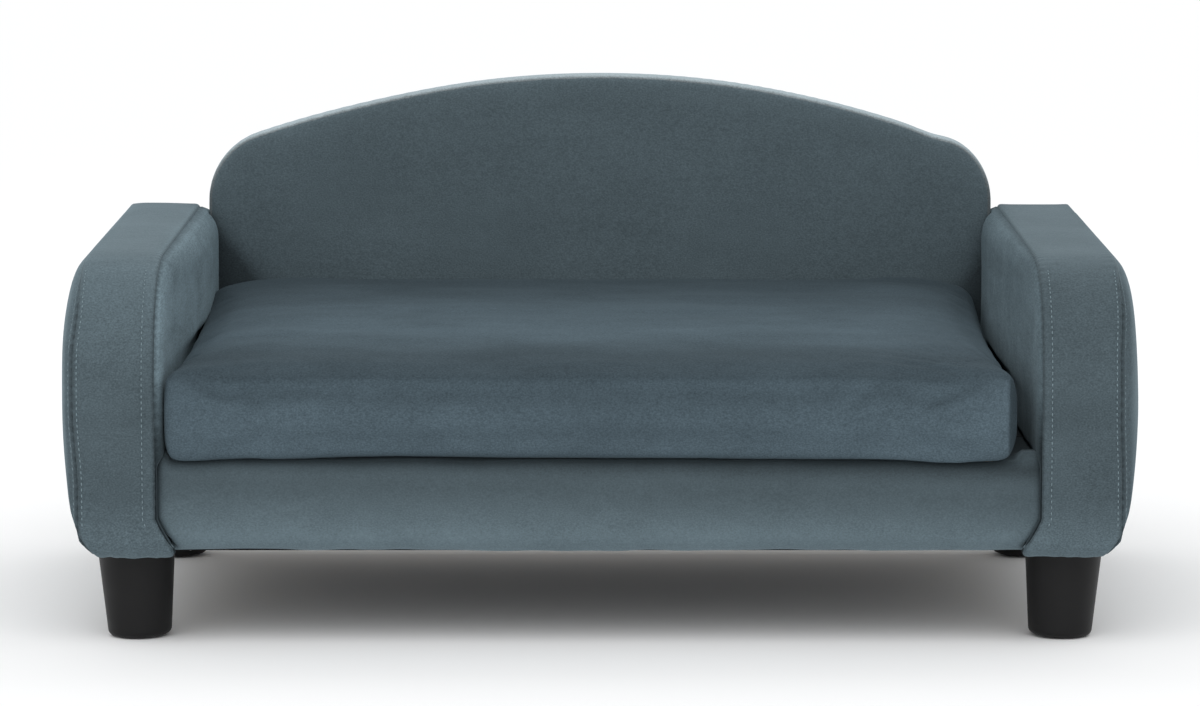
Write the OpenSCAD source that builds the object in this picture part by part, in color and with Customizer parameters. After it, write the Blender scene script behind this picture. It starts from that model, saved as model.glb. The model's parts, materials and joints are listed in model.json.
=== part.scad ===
// Padded dog sofa: two upholstered arms on short round legs carry a seat base
// and an arched back, and a loose boxed cushion lies between them.
// X runs to the right seen from the front, Y to the back and Z up. The origin is
// on the floor, midway between the arms and midway from front to back.

/* [Overall] */
// Width over the two padded arms
sofa_w = 800; // [720:10:1000]
// Depth from the front of the arms to the rear of the back
sofa_d = 500; // [460:10:600]
// Height of the crown of the arched back above the floor
back_top = 392; // [370:2:430]

/* [Arms] */
// Height of the flat top of an arm above the floor
arm_top = 285; // [270:1:300]
// Width of an arm between its two seams
arm_w = 56.5; // [54:0.5:70]
// Radius of the profile where the top runs down into the front
nose_r = 85; // [60:1:100]
// Radius of the profile at the rear end of the top
tail_r = 20; // [14:1:30]
// Radius of the profile at the front end of the underside
toe_r = 15; // [12:1:20]
// Radius of the profile at the rear end of the underside
heel_r = 10; // [9:1:14]
// Swell of the outer panel beyond its seam
outer_crown = 13; // [8:0.5:16]
// Swell of the inner panel beyond its seam
inner_crown = 11; // [8:0.5:12]
// How far in from the seam a panel takes to reach its full swell
crown_run = 30; // [20:1:34]
// Thickness of a panel right at its seam
seam_t = 1.5; // [1:0.1:2]
// Thickness of the padded band round the profile
band_t = 5; // [4:0.5:6]
// Thickness of the bent hardboard under the band
nosing_t = 3; // [2:0.5:3.5]
// Thickness of the two plywood side boards
side_board_t = 9; // [6:0.5:9.5]
// Height of the solid sill at the foot of an arm
sill_h = 20; // [18:1:24]
// Thickness of the posts and of the top batten between the side boards
post_t = 18; // [15:1:20]
// Width and height of the bevel along the outer foot of an arm
tuck = 12; // [8:0.5:13]
// Thickness of the foam plate under the inner panel
arm_foam_t = 6; // [4:0.5:7]
// How far the foam plate stays inside the panel's seam
arm_foam_margin = 26; // [24:1:34]

/* [Seat base] */
// Height of the underside of the base above the underside of the arms
base_lift = 4; // [2:0.5:8]
// Height of the base from its underside to its covered top
base_h = 68; // [62:1:76]
// Setback of the front of the base behind the front of the arms
base_setback = 10; // [6:1:16]
// How far the ends of the base press into the inner panels of the arms, short of the seam
base_pinch = 2; // [1:0.5:4]
// How far the rear of the base presses into the front panel of the back
back_pinch = 1; // [0.5:0.5:2]
// Thickness of the four rails
rail_t = 18; // [15:1:20]
// Thickness of the plywood deck
deck_t = 6; // [4:0.5:9]
// Thickness of the foam on the front rail
front_foam_t = 11; // [8:0.5:14]
// Radius of the padded front edges of the base
base_edge_r = 12; // [9:0.5:16]
// Thickness of the velvet
velvet_t = 1.5; // [1:0.1:2]
// How far the velvet reaches back over the deck
cover_run = 130; // [90:5:160]
// Share of the front rail's thickness that the velvet is turned back under
cover_hem_share = 0.8; // [0.4:0.05:0.95]
// Thickness of the black non-woven cloth under the base
dust_t = 0.8; // [0.5:0.1:1.2]
// Margin of that cloth inside the edges of the base
dust_margin = 14; // [8:1:20]
// Width of the two slats under the deck
slat_w = 40; // [30:1:60]
// Side of the triangular corner blocks
corner_block = 45; // [35:1:60]

/* [Back] */
// How far each side of the back presses into the swollen inner panel of its arm
back_squeeze = 1; // [0.5:0.5:2]
// Radius of the long arch
arch_r = 845; // [700:10:1200]
// Radius of the shoulders where the arch runs down into the sides
shoulder_r = 58; // [45:1:75]
// Radius of the two lower corners
back_foot_r = 8; // [7:0.5:12]
// Thickness of the back between its two seams
back_t = 31; // [28:0.5:36]
// Swell of the front panel of the back
back_front_crown = 4; // [2:0.5:6]
// Swell of the rear panel of the back
back_rear_crown = 3; // [2:0.5:5]
// Thickness of the padded band round the back
back_band_t = 5; // [4:0.5:7]
// Thickness of the plywood panel inside the back
back_board_t = 12; // [9:0.5:15]

/* [Cushion] */
// Gap between the loose cushion, which lies a little to the left, and the left arm
cushion_left_gap = 1.5; // [1:0.5:8]
// Gap between the cushion and the right arm
cushion_right_gap = 11.5; // [1:0.5:16]
// Gap between the cushion and the back
cushion_gap = 5; // [3:0.5:8]
// Setback of the front of the cushion behind the front of the arms
cushion_setback = 3; // [1:0.5:8]
// Height of the boxed edge of the cushion at its front
cushion_edge_h = 64; // [54:1:76]
// Swell of the top in the middle
cushion_crown = 13; // [6:0.5:18]
// Extra height of the boxed edge at its rear, where the cushion rides up against the back
cushion_rise = 18; // [0:0.5:22]
// Plan radius of the front corners
cushion_front_r = 14; // [10:1:24]
// Plan radius of the rear corners
cushion_rear_r = 34; // [24:1:44]
// Gap between the loose cushion and the deck under it
cushion_rest = 0.4; // [0.3:0.1:1]
// How far the sides pull in between the corners
cushion_draw = 2.5; // [0:0.5:5]
// Swell of the boxed edge
cushion_bulge = 3; // [1:0.5:4]

/* [Legs] */
// Height of the legs, which is the height of the underside of the arms
leg_h = 67; // [55:1:80]
// Radius of a leg at its top
leg_top_r = 29; // [26:0.5:30]
// Radius of a leg at the floor
leg_foot_r = 24; // [20:0.5:26]
// Rounding of the lower edge of a leg
leg_edge_r = 5; // [3:0.5:6]
// Angle at which the legs lean in towards the middle
leg_lean = 2; // [0:0.5:3]
// Wall of the moulded leg
leg_wall = 3.5; // [2.5:0.5:4.5]
// Radius of the boss that holds the stud
leg_boss_r = 8; // [7:0.5:10]
// Number of ribs between boss and wall
leg_ribs = 6; // [4:1:8]
// Distance of the leg centres from the ends of the arms
leg_setback = 60; // [52:1:80]
// Distance of the leg centres outside the inner seams
leg_inset = 18; // [16:0.5:20]
// Radius of the felt glide
glide_r = 12; // [9:0.5:14]
// Thickness of the felt glide
glide_t = 3; // [2:0.5:4]
// How far the glide stands out of the leg
glide_proud = 1; // [0.5:0.5:1.5]

/* [Fasteners] */
// Diameter of the leg studs
stud_d = 8; // [6:1:8]
// Diameter of the bolts that join arms and back to the base
bolt_d = 6; // [5:1:6]
// Distance of the arm bolts from the corner blocks
arm_bolt_gap = 20; // [14:1:50]
// Distance of the outer back bolts from the corner blocks
back_bolt_gap = 45.5; // [20:0.5:80]
// Height of all the bolts above the underside of the base
bolt_rise = 32; // [28:1:36]
// Radial gap round a bolt or stud in its nut, and round a glide in its leg
thread_gap = 0.05; // [0.02:0.01:0.08]
// Radial gap round a bolt in wood or cloth
hole_gap = 0.5; // [0.3:0.1:0.8]

/* [Zip] */
// Distance of both ends of the zip from the sides of the cushion
zip_margin = 53; // [45:1:90]
// Height of the slot that the zip lies in
zip_slot_h = 15; // [14:0.5:18]
// Depth of that slot behind the boxed edge
zip_slot_depth = 6.5; // [6:0.5:8]
// Length of the slider
slider_l = 11; // [9:0.5:13]
// Width of the slider
slider_w = 8; // [7:0.5:9]
// Length of the pull tab
tab_l = 20; // [14:1:26]

/* [Hidden] */
$fn = 32;
// Facets round a bolt, stud, nut or washer
small_fn = 20;

// Colours of the materials
velvet = [0.33, 0.40, 0.44];
plywood = [0.80, 0.66, 0.46];
pine = [0.86, 0.72, 0.50];
hardboard = [0.47, 0.33, 0.22];
foam = [0.93, 0.90, 0.78];
black_cloth = [0.08, 0.08, 0.08];
black_plastic = [0.12, 0.12, 0.12];
felt = [0.35, 0.33, 0.30];
steel = [0.72, 0.72, 0.74];
zip_cloth = [0.27, 0.33, 0.37];

// One overrun serves every cut that has to come out clean
over = 1;
// Share of the inset that a corner keeps as its radius when an outline is drawn inwards
corner_share = 0.6;
// Straight steps in each kind of arc
nose_steps = 14;
corner_steps = 5;
shoulder_steps = 8;
arch_steps = 24;
// Share of the nose radius by which its straight steps lie inside the true arc
nose_sag_share = 1 - cos(90 / nose_steps / 2);

// Places along X, for the right-hand side
seam_out_x = sofa_w / 2 - outer_crown;
seam_in_x = seam_out_x - arm_w;
frame_in_x = seam_in_x + seam_t;
frame_out_x = seam_out_x - seam_t;
frame_w = frame_out_x - frame_in_x;
post_in_x = frame_in_x + side_board_t;
post_out_x = frame_out_x - side_board_t;
base_x = seam_in_x - base_pinch;
// Inner face of a swollen arm, and the side of the back that presses into it
arm_face_x = seam_in_x - inner_crown;
back_x = arm_face_x + back_squeeze;
leg_x = seam_in_x + leg_inset;

// Places along Y
front_y = -sofa_d / 2;
rear_y = sofa_d / 2;
back_rear_seam_y = rear_y - back_rear_crown;
back_front_seam_y = back_rear_seam_y - back_t;
back_face_y = back_front_seam_y - back_front_crown;
back_core_front_y = back_front_seam_y + seam_t;
back_core_rear_y = back_rear_seam_y - seam_t;
back_core_t = back_core_rear_y - back_core_front_y;
back_foam_t = (back_core_t - back_board_t) / 2;
back_board_y = back_core_front_y + back_foam_t;
base_front_y = front_y + base_setback;
base_rear_y = back_face_y + back_pinch;
leg_y = sofa_d / 2 - leg_setback;
arm_bolt_y = base_rear_y - rail_t - corner_block - arm_bolt_gap;
back_bolt_x = base_x - rail_t - corner_block - back_bolt_gap;
// Shortest flat that the padded front keeps behind its rounded edges
least_flat = 0.5;
rail_front_y = base_front_y + max(velvet_t + front_foam_t, base_edge_r + least_flat);

// Places along Z
arm_foot = leg_h;
base_foot = arm_foot + base_lift;
seat_z = base_foot + base_h;
rail_foot = base_foot + velvet_t;
deck_top = seat_z - velvet_t;
rail_top = deck_top - deck_t;
sill_top = arm_foot + velvet_t + sill_h;
bolt_z = base_foot + bolt_rise;

// Sizes of the fasteners, from their diameters
stud_r = stud_d / 2;
bolt_r = bolt_d / 2;
head_r = bolt_d * 0.95;
head_h = bolt_d * 0.55;
key_r = bolt_d * 0.38;
key_depth = bolt_d * 0.35;
washer_r = bolt_d * 1.5;
washer_t = 1.6;
barrel_wall = 1.2;
flange_t = 1.5;
bolt_flange_r = bolt_d * 1.6;
stud_flange_r = stud_d * 1.2;
// How far a bolt or stud stands out of its nut
thread_out = 2;
// How deep a stud is moulded into its leg
stud_grip = 32;
// How far a nut's barrel ends short of the far face of its board
barrel_short = 1;

// Shares of the swell run at which a panel's rings lie
ring_shares = [0, 0.1, 0.27, 0.55, 1];
// Share of a panel's swell that is reached at the last ring, before the middle
last_ring_share = 0.94;

// Points along an arc, from one angle to the other
function arc(c, r, a0, a1, n) =
    [for (i = [0:n]) let (a = a0 + (a1 - a0) * i / n) [c[0] + r * cos(a), c[1] + r * sin(a)]];

function inner_r(r, inset) = max(r - inset, corner_share * inset);

// Side profile of an arm, as [y, z], drawn in from the seam by inset; its foot is at height z0
function arm_outline(inset, z0) =
    let (
        y0 = front_y + inset,
        y1 = rear_y - inset,
        z1 = arm_top - inset,
        heel = inner_r(heel_r, inset),
        tail = inner_r(tail_r, inset),
        nose = inner_r(nose_r, inset),
        toe = inner_r(toe_r, inset)
    )
    concat(
        arc([y1 - heel, z0 + heel], heel, -90, 0, corner_steps),
        arc([y1 - tail, z1 - tail], tail, 0, 90, corner_steps),
        arc([y0 + nose, z1 - nose], nose, 90, 180, nose_steps),
        arc([y0 + toe, z0 + toe], toe, 180, 270, corner_steps)
    );

// Front outline of the arched back, as [x, z], drawn in by inset
function back_outline(inset) =
    let (
        arch_z = back_top - arch_r,
        side_x = back_x - shoulder_r,
        side_z = arch_z + sqrt(pow(arch_r - shoulder_r, 2) - pow(side_x, 2)),
        turn = atan2(side_z - arch_z, side_x),
        foot = inner_r(back_foot_r, inset),
        foot_x = back_x - inset - foot,
        foot_z = base_foot + inset + foot,
        shoulder = shoulder_r - inset,
        arch = arc([0, arch_z], arch_r - inset, turn, 180 - turn, arch_steps)
    )
    concat(
        arc([foot_x, foot_z], foot, -90, 0, corner_steps),
        arc([side_x, side_z], shoulder, 0, turn, shoulder_steps),
        [for (i = [1:arch_steps - 1]) arch[i]],
        arc([-side_x, side_z], shoulder, 180 - turn, 180, shoulder_steps),
        arc([-foot_x, foot_z], foot, 180, 270, corner_steps)
    );

// Closed solid from rings of 3-D points, with a middle point below the first and above the last
module stack(rings, low, high) {
    n = len(rings[0]);
    last = len(rings) - 1;
    points = concat([for (r = rings) for (p = r) p], [low, high]);
    sides = [
        for (k = [0:last - 1])
            for (i = [0:n - 1])
                let (j = (i + 1) % n, a = k * n, b = (k + 1) * n)
                    each [[a + i, b + j, a + j], [a + i, b + i, b + j]]
    ];
    floor_fan = [for (i = [0:n - 1]) [i, (i + 1) % n, len(points) - 2]];
    top_fan = [for (i = [0:n - 1]) [last * n + i, len(points) - 1, last * n + (i + 1) % n]];
    polyhedron(points = points, faces = concat(sides, floor_fan, top_fan), convexity = 4);
}

// Height of a swelling panel over its back at a share of its run in from the seam
function swell(share, crown) = seam_t + crown * last_ring_share * sqrt(1 - pow(1 - share, 2));

// The points of an outline at height h
function lift(outline, h) = [for (p = outline) [p[0], p[1], h]];

// Middle of the box round an outline
function mean(outline) =
    [for (k = [0, 1]) let (v = [for (p = outline) p[k]]) (min(v) + max(v)) / 2];

// Sewn panel that lies on its back at height 0, is seam_t thick at its edge and swells by crown
module puffed_panel(outlines, crown) {
    rings = concat(
        [lift(outlines[0], 0)],
        [for (k = [0:len(outlines) - 1]) lift(outlines[k], swell(ring_shares[k], crown))]
    );
    c = mean(outlines[len(outlines) - 1]);
    stack(rings, [c[0], c[1], 0], [c[0], c[1], crown + seam_t]);
}

// Turns a drawing of [y, z] and height into the row's axes, with the height along +X
module along_x() {
    rotate([90, 0, 90]) children();
}

// Turns a drawing of [x, z] and height into the row's axes, with the height along -Y
module along_minus_y() {
    rotate([90, 0, 0]) children();
}

// Arm: everything is drawn for the right-hand arm and mirrored for the left
module on_side(side) {
    if (side > 0) children();
    else mirror([1, 0, 0]) children();
}

module arm_slab(inset, x0, x1, z0) {
    translate([x0, 0, 0])
        along_x()
            linear_extrude(height = x1 - x0)
                polygon(arm_outline(inset, z0));
}

// Wedge that bevels the outer foot of an arm; back is how far its slope is moved in
module tuck_wedge(back) {
    x = frame_out_x + over;
    rise = tuck + back + over;
    translate([0, rear_y + over, 0])
        along_minus_y()
            linear_extrude(height = sofa_d + 2 * over)
                polygon([
                    [x, arm_foot - over],
                    [x, arm_foot + rise],
                    [x - rise - over, arm_foot - over]
                ]);
}

// Block that stands for the arm's length and the given span of heights
module height_span(z0, z1) {
    translate([frame_in_x - over, front_y - over, z0])
        cube([frame_w + 2 * over, sofa_d + 2 * over, z1 - z0]);
}

frame_inset = band_t + nosing_t;
frame_foot = arm_foot + velvet_t;

module at_legs() {
    for (end = [-1, 1])
        translate([leg_x, end * leg_y, 0]) children();
}

module at_arm_bolts() {
    $fn = small_fn;
    for (end = [-1, 1])
        translate([0, end * arm_bolt_y, bolt_z]) rotate([0, 90, 0]) children();
}

module at_back_bolts() {
    $fn = small_fn;
    for (place = [-1, 0, 1])
        translate([place * back_bolt_x, 0, bolt_z]) rotate([-90, 0, 0]) children();
}

module arm_sill(side) {
    color(pine) on_side(side) difference() {
        intersection() {
            arm_slab(frame_inset, frame_in_x, frame_out_x, frame_foot);
            height_span(frame_foot, sill_top);
        }
        tuck_wedge(velvet_t);
        at_legs() {
            translate([0, 0, arm_foot])
                cylinder(h = sill_top - arm_foot + over, r = stud_r + thread_gap + barrel_wall);
            translate([0, 0, sill_top - flange_t])
                cylinder(h = flange_t + over, r = stud_flange_r);
        }
    }
}

module arm_inner_board(side) {
    color(plywood) on_side(side) difference() {
        intersection() {
            arm_slab(frame_inset, frame_in_x, post_in_x, frame_foot);
            height_span(sill_top, arm_top);
        }
        at_arm_bolts()
            translate([0, 0, frame_in_x - over])
                cylinder(h = side_board_t + 2 * over, r = bolt_r + thread_gap + barrel_wall);
    }
}

module arm_outer_board(side) {
    color(plywood) on_side(side) intersection() {
        arm_slab(frame_inset, post_out_x, frame_out_x, frame_foot);
        height_span(sill_top, arm_top);
    }
}

// Two upright posts, the batten under the top and the slanted block behind the nose
module arm_posts(side) {
    w = post_out_x - post_in_x;
    y0 = front_y + frame_inset;
    y1 = rear_y - frame_inset;
    z1 = arm_top - frame_inset;
    nose = nose_r - frame_inset;
    // far enough in for the block's corners to meet the bent hardboard
    block_out = sqrt(pow(nose * (1 - nose_sag_share), 2) - pow(post_t / 2, 2));
    front_post_h = z1 - nose - sill_top;
    rear_post_h = z1 - tail_r - sill_top;
    batten_l = sofa_d - 2 * frame_inset - nose - tail_r;
    color(pine) on_side(side) {
        translate([post_in_x, y0, sill_top]) cube([w, post_t, front_post_h]);
        translate([post_in_x, y1 - post_t, sill_top]) cube([w, post_t, rear_post_h]);
        translate([post_in_x, y0 + nose, z1 - post_t]) cube([w, batten_l, post_t]);
        translate([post_in_x, y0 + nose, z1 - nose])
            rotate([45, 0, 0])
                translate([0, -post_t / 2, block_out - post_t])
                    cube([w, post_t, post_t]);
    }
}

// Bent hardboard round the front, top and rear edges of the side boards
module arm_nosing(side) {
    color(hardboard) on_side(side) difference() {
        arm_slab(band_t, frame_in_x, frame_out_x, frame_foot);
        arm_slab(frame_inset, frame_in_x - over, frame_out_x + over, frame_foot);
        height_span(frame_foot - over, max(frame_foot + toe_r - band_t, arm_foot + tuck + velvet_t));
    }
}

// Padded velvet band round the whole profile, bevelled along the outer foot
module arm_band(side) {
    color(velvet) on_side(side) difference() {
        arm_slab(0, frame_in_x, frame_out_x, arm_foot);
        difference() {
            arm_slab(band_t, frame_in_x - over, frame_out_x + over, frame_foot);
            tuck_wedge(velvet_t);
        }
        tuck_wedge(0);
        at_legs()
            translate([0, 0, arm_foot - over])
                cylinder(h = velvet_t + 2 * over, r = stud_r + hole_gap);
    }
}

// Foam plate on the inner board, above the seat base
module arm_foam_solid() {
    z0 = seat_z + arm_foam_margin / 2;
    difference() {
        arm_slab(arm_foam_margin, frame_in_x - arm_foam_t, frame_in_x, z0);
        translate([frame_in_x - arm_foam_t - over, back_face_y, z0 - over])
            cube([arm_foam_t + 2 * over, sofa_d, arm_top]);
    }
}

module arm_foam(side) {
    color(foam) on_side(side) arm_foam_solid();
}

function arm_rings(z0) = [for (s = ring_shares) arm_outline(s * crown_run, z0 + s * crown_run)];

module arm_inner_panel(side) {
    color(velvet) on_side(side) difference() {
        translate([frame_in_x, 0, 0])
            mirror([1, 0, 0]) along_x() puffed_panel(arm_rings(arm_foot), inner_crown);
        arm_foam_solid();
        // the base presses it flat below the seat
        translate([0, base_front_y, 0]) cube([base_x, base_rear_y - base_front_y, seat_z]);
        // the back presses it in at the rear
        translate([0, back_face_y, 0]) cube([back_x, sofa_d, back_top]);
        at_arm_bolts()
            cylinder(h = sofa_w, r = bolt_r + hole_gap);
    }
}

module arm_outer_panel(side) {
    color(velvet) on_side(side)
        translate([frame_out_x, 0, 0])
            along_x() puffed_panel(arm_rings(arm_foot + tuck), outer_crown);
}

// Seat base
// The front rail stands on the turned-back velvet, a cloth's thickness above the others
module front_rail() {
    color(pine)
        translate([-base_x, rail_front_y, rail_foot])
            cube([2 * base_x, rail_t, rail_top - rail_foot]);
}

module rear_rail() {
    color(pine) difference() {
        translate([-base_x, base_rear_y - rail_t, base_foot])
            cube([2 * base_x, rail_t, rail_top - base_foot]);
        at_back_bolts()
            translate([0, 0, base_rear_y - rail_t - over])
                cylinder(h = rail_t + 2 * over, r = bolt_r + hole_gap);
    }
}

rail_gap_front_y = rail_front_y + rail_t;
rail_gap_l = base_rear_y - rail_t - rail_gap_front_y;

module end_rail(side) {
    color(pine) on_side(side) difference() {
        translate([base_x - rail_t, rail_gap_front_y, base_foot])
            cube([rail_t, rail_gap_l, rail_top - base_foot]);
        at_arm_bolts()
            translate([0, 0, base_x - rail_t - over])
                cylinder(h = rail_t + 2 * over, r = bolt_r + hole_gap);
    }
}

// Two slats from the front rail to the rear rail, flat under the deck
module deck_slats() {
    color(pine)
        for (side = [-1, 1])
            translate([side * base_x / 3 - slat_w / 2, rail_gap_front_y, rail_top - rail_t])
                cube([slat_w, rail_gap_l, rail_t]);
}

// Triangular blocks glued into the corners of the rails, between the deck and the bolts
module corner_blocks() {
    h = (rail_top - rail_foot) / 2;
    color(pine)
        for (side = [-1, 1])
            for (end = [-1, 1]) {
                x = side * (base_x - rail_t);
                y = end < 0 ? rail_gap_front_y : rail_gap_front_y + rail_gap_l;
                translate([x, y, rail_top - h])
                    linear_extrude(height = h)
                        polygon([[0, 0], [-side * corner_block, 0], [0, -end * corner_block]]);
            }
}

module seat_deck() {
    color(plywood)
        translate([-base_x, rail_front_y, rail_top])
            cube([2 * base_x, base_rear_y - rail_front_y, deck_t]);
}

// Section of the padded front of the base, as [y, z], drawn in by inset
function base_section(inset, run) =
    let (r = inner_r(base_edge_r, inset), y0 = base_front_y + inset)
    concat(
        [[base_front_y + run, base_foot + inset], [base_front_y + run, seat_z - inset]],
        arc([y0 + r, seat_z - inset - r], r, 90, 180, corner_steps),
        arc([y0 + r, base_foot + inset + r], r, 180, 270, corner_steps)
    );

module base_prism(inset, run) {
    translate([-base_x, 0, 0])
        along_x() linear_extrude(height = 2 * base_x) polygon(base_section(inset, run));
}

module front_foam() {
    color(foam)
        base_prism(velvet_t, rail_front_y - base_front_y);
}

// Velvet from under the front rail, up the front and back over the deck
module base_cover() {
    color(velvet) difference() {
        base_prism(0, cover_run);
        translate([-over, 0, 0]) base_prism(velvet_t, cover_run + over);
        translate([over, 0, 0]) base_prism(velvet_t, cover_run + over);
        translate([-sofa_w / 2, rail_front_y + rail_t * cover_hem_share, base_foot - over])
            cube([sofa_w, sofa_d, base_h / 2]);
    }
}

module deck_lining() {
    color(black_cloth)
        translate([-base_x, base_front_y + cover_run, deck_top])
            cube([2 * base_x, base_rear_y - base_front_y - cover_run, velvet_t]);
}

module dust_cover() {
    color(black_cloth)
        translate([-base_x + dust_margin, base_front_y + dust_margin, base_foot - dust_t])
            cube([
                2 * (base_x - dust_margin),
                base_rear_y - base_front_y - 2 * dust_margin,
                dust_t
            ]);
}

// Back
module back_slab(inset, y0, y1) {
    translate([0, y1, 0])
        along_minus_y() linear_extrude(height = y1 - y0) polygon(back_outline(inset));
}

module back_bolt_holes(r) {
    at_back_bolts() cylinder(h = sofa_d, r = r);
}

module back_board() {
    color(plywood) difference() {
        back_slab(back_band_t, back_board_y, back_board_y + back_board_t);
        back_bolt_holes(bolt_r + thread_gap + barrel_wall);
    }
}

module back_front_foam() {
    color(foam) difference() {
        back_slab(back_band_t, back_core_front_y, back_board_y);
        back_bolt_holes(bolt_r + hole_gap);
    }
}

module back_rear_foam() {
    color(foam) difference() {
        back_slab(back_band_t, back_board_y + back_board_t, back_core_rear_y);
        at_back_bolts()
            translate([0, 0, back_board_y])
                cylinder(h = back_board_t + flange_t, r = bolt_flange_r);
        at_back_bolts()
            translate([0, 0, back_board_y])
                cylinder(h = back_board_t + flange_t + thread_out, r = bolt_r + hole_gap);
    }
}

module back_band() {
    color(velvet) difference() {
        back_slab(0, back_core_front_y, back_core_rear_y);
        back_slab(back_band_t, back_core_front_y - over, back_core_rear_y + over);
    }
}

back_rings = [for (s = ring_shares) back_outline(s * crown_run)];

module back_front_panel() {
    color(velvet) difference() {
        translate([0, back_core_front_y, 0])
            along_minus_y() puffed_panel(back_rings, back_front_crown);
        at_back_bolts() cylinder(h = back_board_y, r = bolt_r + hole_gap);
        translate([-base_x, 0, 0]) cube([2 * base_x, base_rear_y, seat_z]);
    }
}

module back_rear_panel() {
    color(velvet)
        translate([0, back_core_rear_y, 0])
            mirror([0, 1, 0]) along_minus_y() puffed_panel(back_rings, back_rear_crown);
}

// Leg: half section of the moulded cone, drawn in by inset
module leg_half_section(inset) {
    slope = (leg_top_r - leg_foot_r) / leg_h;
    r = inner_r(leg_edge_r, inset);
    foot = leg_foot_r - inset;
    z0 = glide_proud + inset;
    polygon(concat(
        [[0, z0]],
        arc([foot - r, z0 + r], r, -90, 0, corner_steps),
        [[leg_top_r - inset + slope * over, leg_h + over], [0, leg_h + over]]
    ));
}

module leg_cone(inset) {
    rotate_extrude() leg_half_section(inset);
}

// Leans its children in about the middle of the leg's top
module leaning() {
    translate([0, 0, leg_h]) rotate([0, leg_lean, 0]) translate([0, 0, -leg_h]) children();
}

module leg_solid() {
    rib_t = leg_wall * 0.7;
    difference() {
        intersection() {
            leaning() leg_cone(0);
            translate([-2 * leg_top_r, -2 * leg_top_r, glide_proud])
                cube([4 * leg_top_r, 4 * leg_top_r, leg_h - glide_proud]);
        }
        leaning() difference() {
            leg_cone(leg_wall);
            cylinder(h = leg_h + 2 * over, r = leg_boss_r);
            for (i = [0:leg_ribs - 1])
                rotate([0, 0, 360 / leg_ribs * i])
                    translate([0, -rib_t / 2, 0]) cube([leg_top_r, rib_t, leg_h + 2 * over]);
        }
        translate([0, 0, leg_h - stud_grip])
            cylinder(h = stud_grip + over, r = stud_r + thread_gap);
        glide(thread_gap);
    }
}

// Felt glide in the middle of the leaning foot
module glide(gap) {
    translate([-leg_h * tan(leg_lean), 0, 0]) cylinder(h = glide_t, r = glide_r + gap);
}

module leg(side, end) {
    color(black_plastic)
        on_side(side) translate([leg_x, end * leg_y, 0]) leg_solid();
}

module every_leg() {
    for (side = [-1, 1])
        on_side(side) at_legs() children();
}

module leg_glides() {
    color(felt) every_leg() glide(0);
}

module leg_studs() {
    $fn = small_fn;
    color(steel) every_leg()
        translate([0, 0, leg_h - stud_grip])
            cylinder(h = stud_grip + sill_top - leg_h + thread_out, r = stud_r);
}

// Nut with a barrel that starts at height 0 and a flange on top
module tee_nut(r, barrel_h, flange_r) {
    difference() {
        union() {
            cylinder(h = barrel_h + flange_t, r = r + thread_gap + barrel_wall);
            translate([0, 0, barrel_h]) cylinder(h = flange_t, r = flange_r);
        }
        translate([0, 0, -over])
            cylinder(h = barrel_h + flange_t + 2 * over, r = r + thread_gap);
    }
}

module leg_tee_nuts() {
    $fn = small_fn;
    barrel_h = sill_h / 2;
    color(steel) every_leg()
        translate([0, 0, sill_top - flange_t - barrel_h])
            tee_nut(stud_r, barrel_h, stud_flange_r);
}

// Bolt whose washer lies on height 0 and whose shank runs up from there
module bolt(l) {
    difference() {
        union() {
            translate([0, 0, -washer_t - head_h]) cylinder(h = head_h, r = head_r);
            translate([0, 0, -washer_t]) cylinder(h = washer_t + l, r = bolt_r);
        }
        translate([0, 0, -washer_t - head_h - over])
            cylinder(h = key_depth + over, r = key_r, $fn = 6);
    }
}

module washer() {
    difference() {
        translate([0, 0, -washer_t]) cylinder(h = washer_t, r = washer_r);
        translate([0, 0, -washer_t - over])
            cylinder(h = washer_t + 2 * over, r = bolt_r + hole_gap);
    }
}

module every_arm_bolt() {
    for (side = [-1, 1])
        on_side(side) at_arm_bolts() children();
}

arm_bolt_seat = base_x - rail_t;
back_bolt_seat = base_rear_y - rail_t;
back_board_rear_y = back_board_y + back_board_t;

module arm_bolts() {
    color(steel) every_arm_bolt()
        translate([0, 0, arm_bolt_seat])
            bolt(post_in_x + flange_t + thread_out - arm_bolt_seat);
}

module arm_washers() {
    color(steel) every_arm_bolt() translate([0, 0, arm_bolt_seat]) washer();
}

module arm_tee_nuts() {
    barrel_h = side_board_t - barrel_short;
    color(steel) every_arm_bolt()
        translate([0, 0, post_in_x - barrel_h]) tee_nut(bolt_r, barrel_h, bolt_flange_r);
}

module back_bolts() {
    color(steel) at_back_bolts()
        translate([0, 0, back_bolt_seat])
            bolt(back_board_rear_y + flange_t + thread_out - back_bolt_seat);
}

module back_washers() {
    color(steel) at_back_bolts() translate([0, 0, back_bolt_seat]) washer();
}

module back_tee_nuts() {
    barrel_h = back_board_t - barrel_short;
    color(steel) at_back_bolts()
        translate([0, 0, back_board_rear_y - barrel_h]) tee_nut(bolt_r, barrel_h, bolt_flange_r);
}

// Cushion: rings of points from its flat underside up over the boxed edge to the crown
cushion_left_x = cushion_left_gap - arm_face_x;
cushion_right_x = arm_face_x - cushion_right_gap;
cushion_x = (cushion_left_x + cushion_right_x) / 2;
cushion_front_y = front_y + cushion_setback;
cushion_rear_y = back_face_y - cushion_gap;
cushion_l = cushion_rear_y - cushion_front_y;
cushion_foot = seat_z + cushion_rest;
cushion_side_steps = 6;
cushion_long_steps = 10;

// One side from a to b without its ends, pulled in towards the left of its direction
function drawn_side(a, b, n) =
    let (d = b - a, m = [-d[1], d[0]] / norm(d))
    [for (i = [1:n - 1]) let (t = i / n) a + d * t + m * cushion_draw * 4 * t * (1 - t)];

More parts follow.
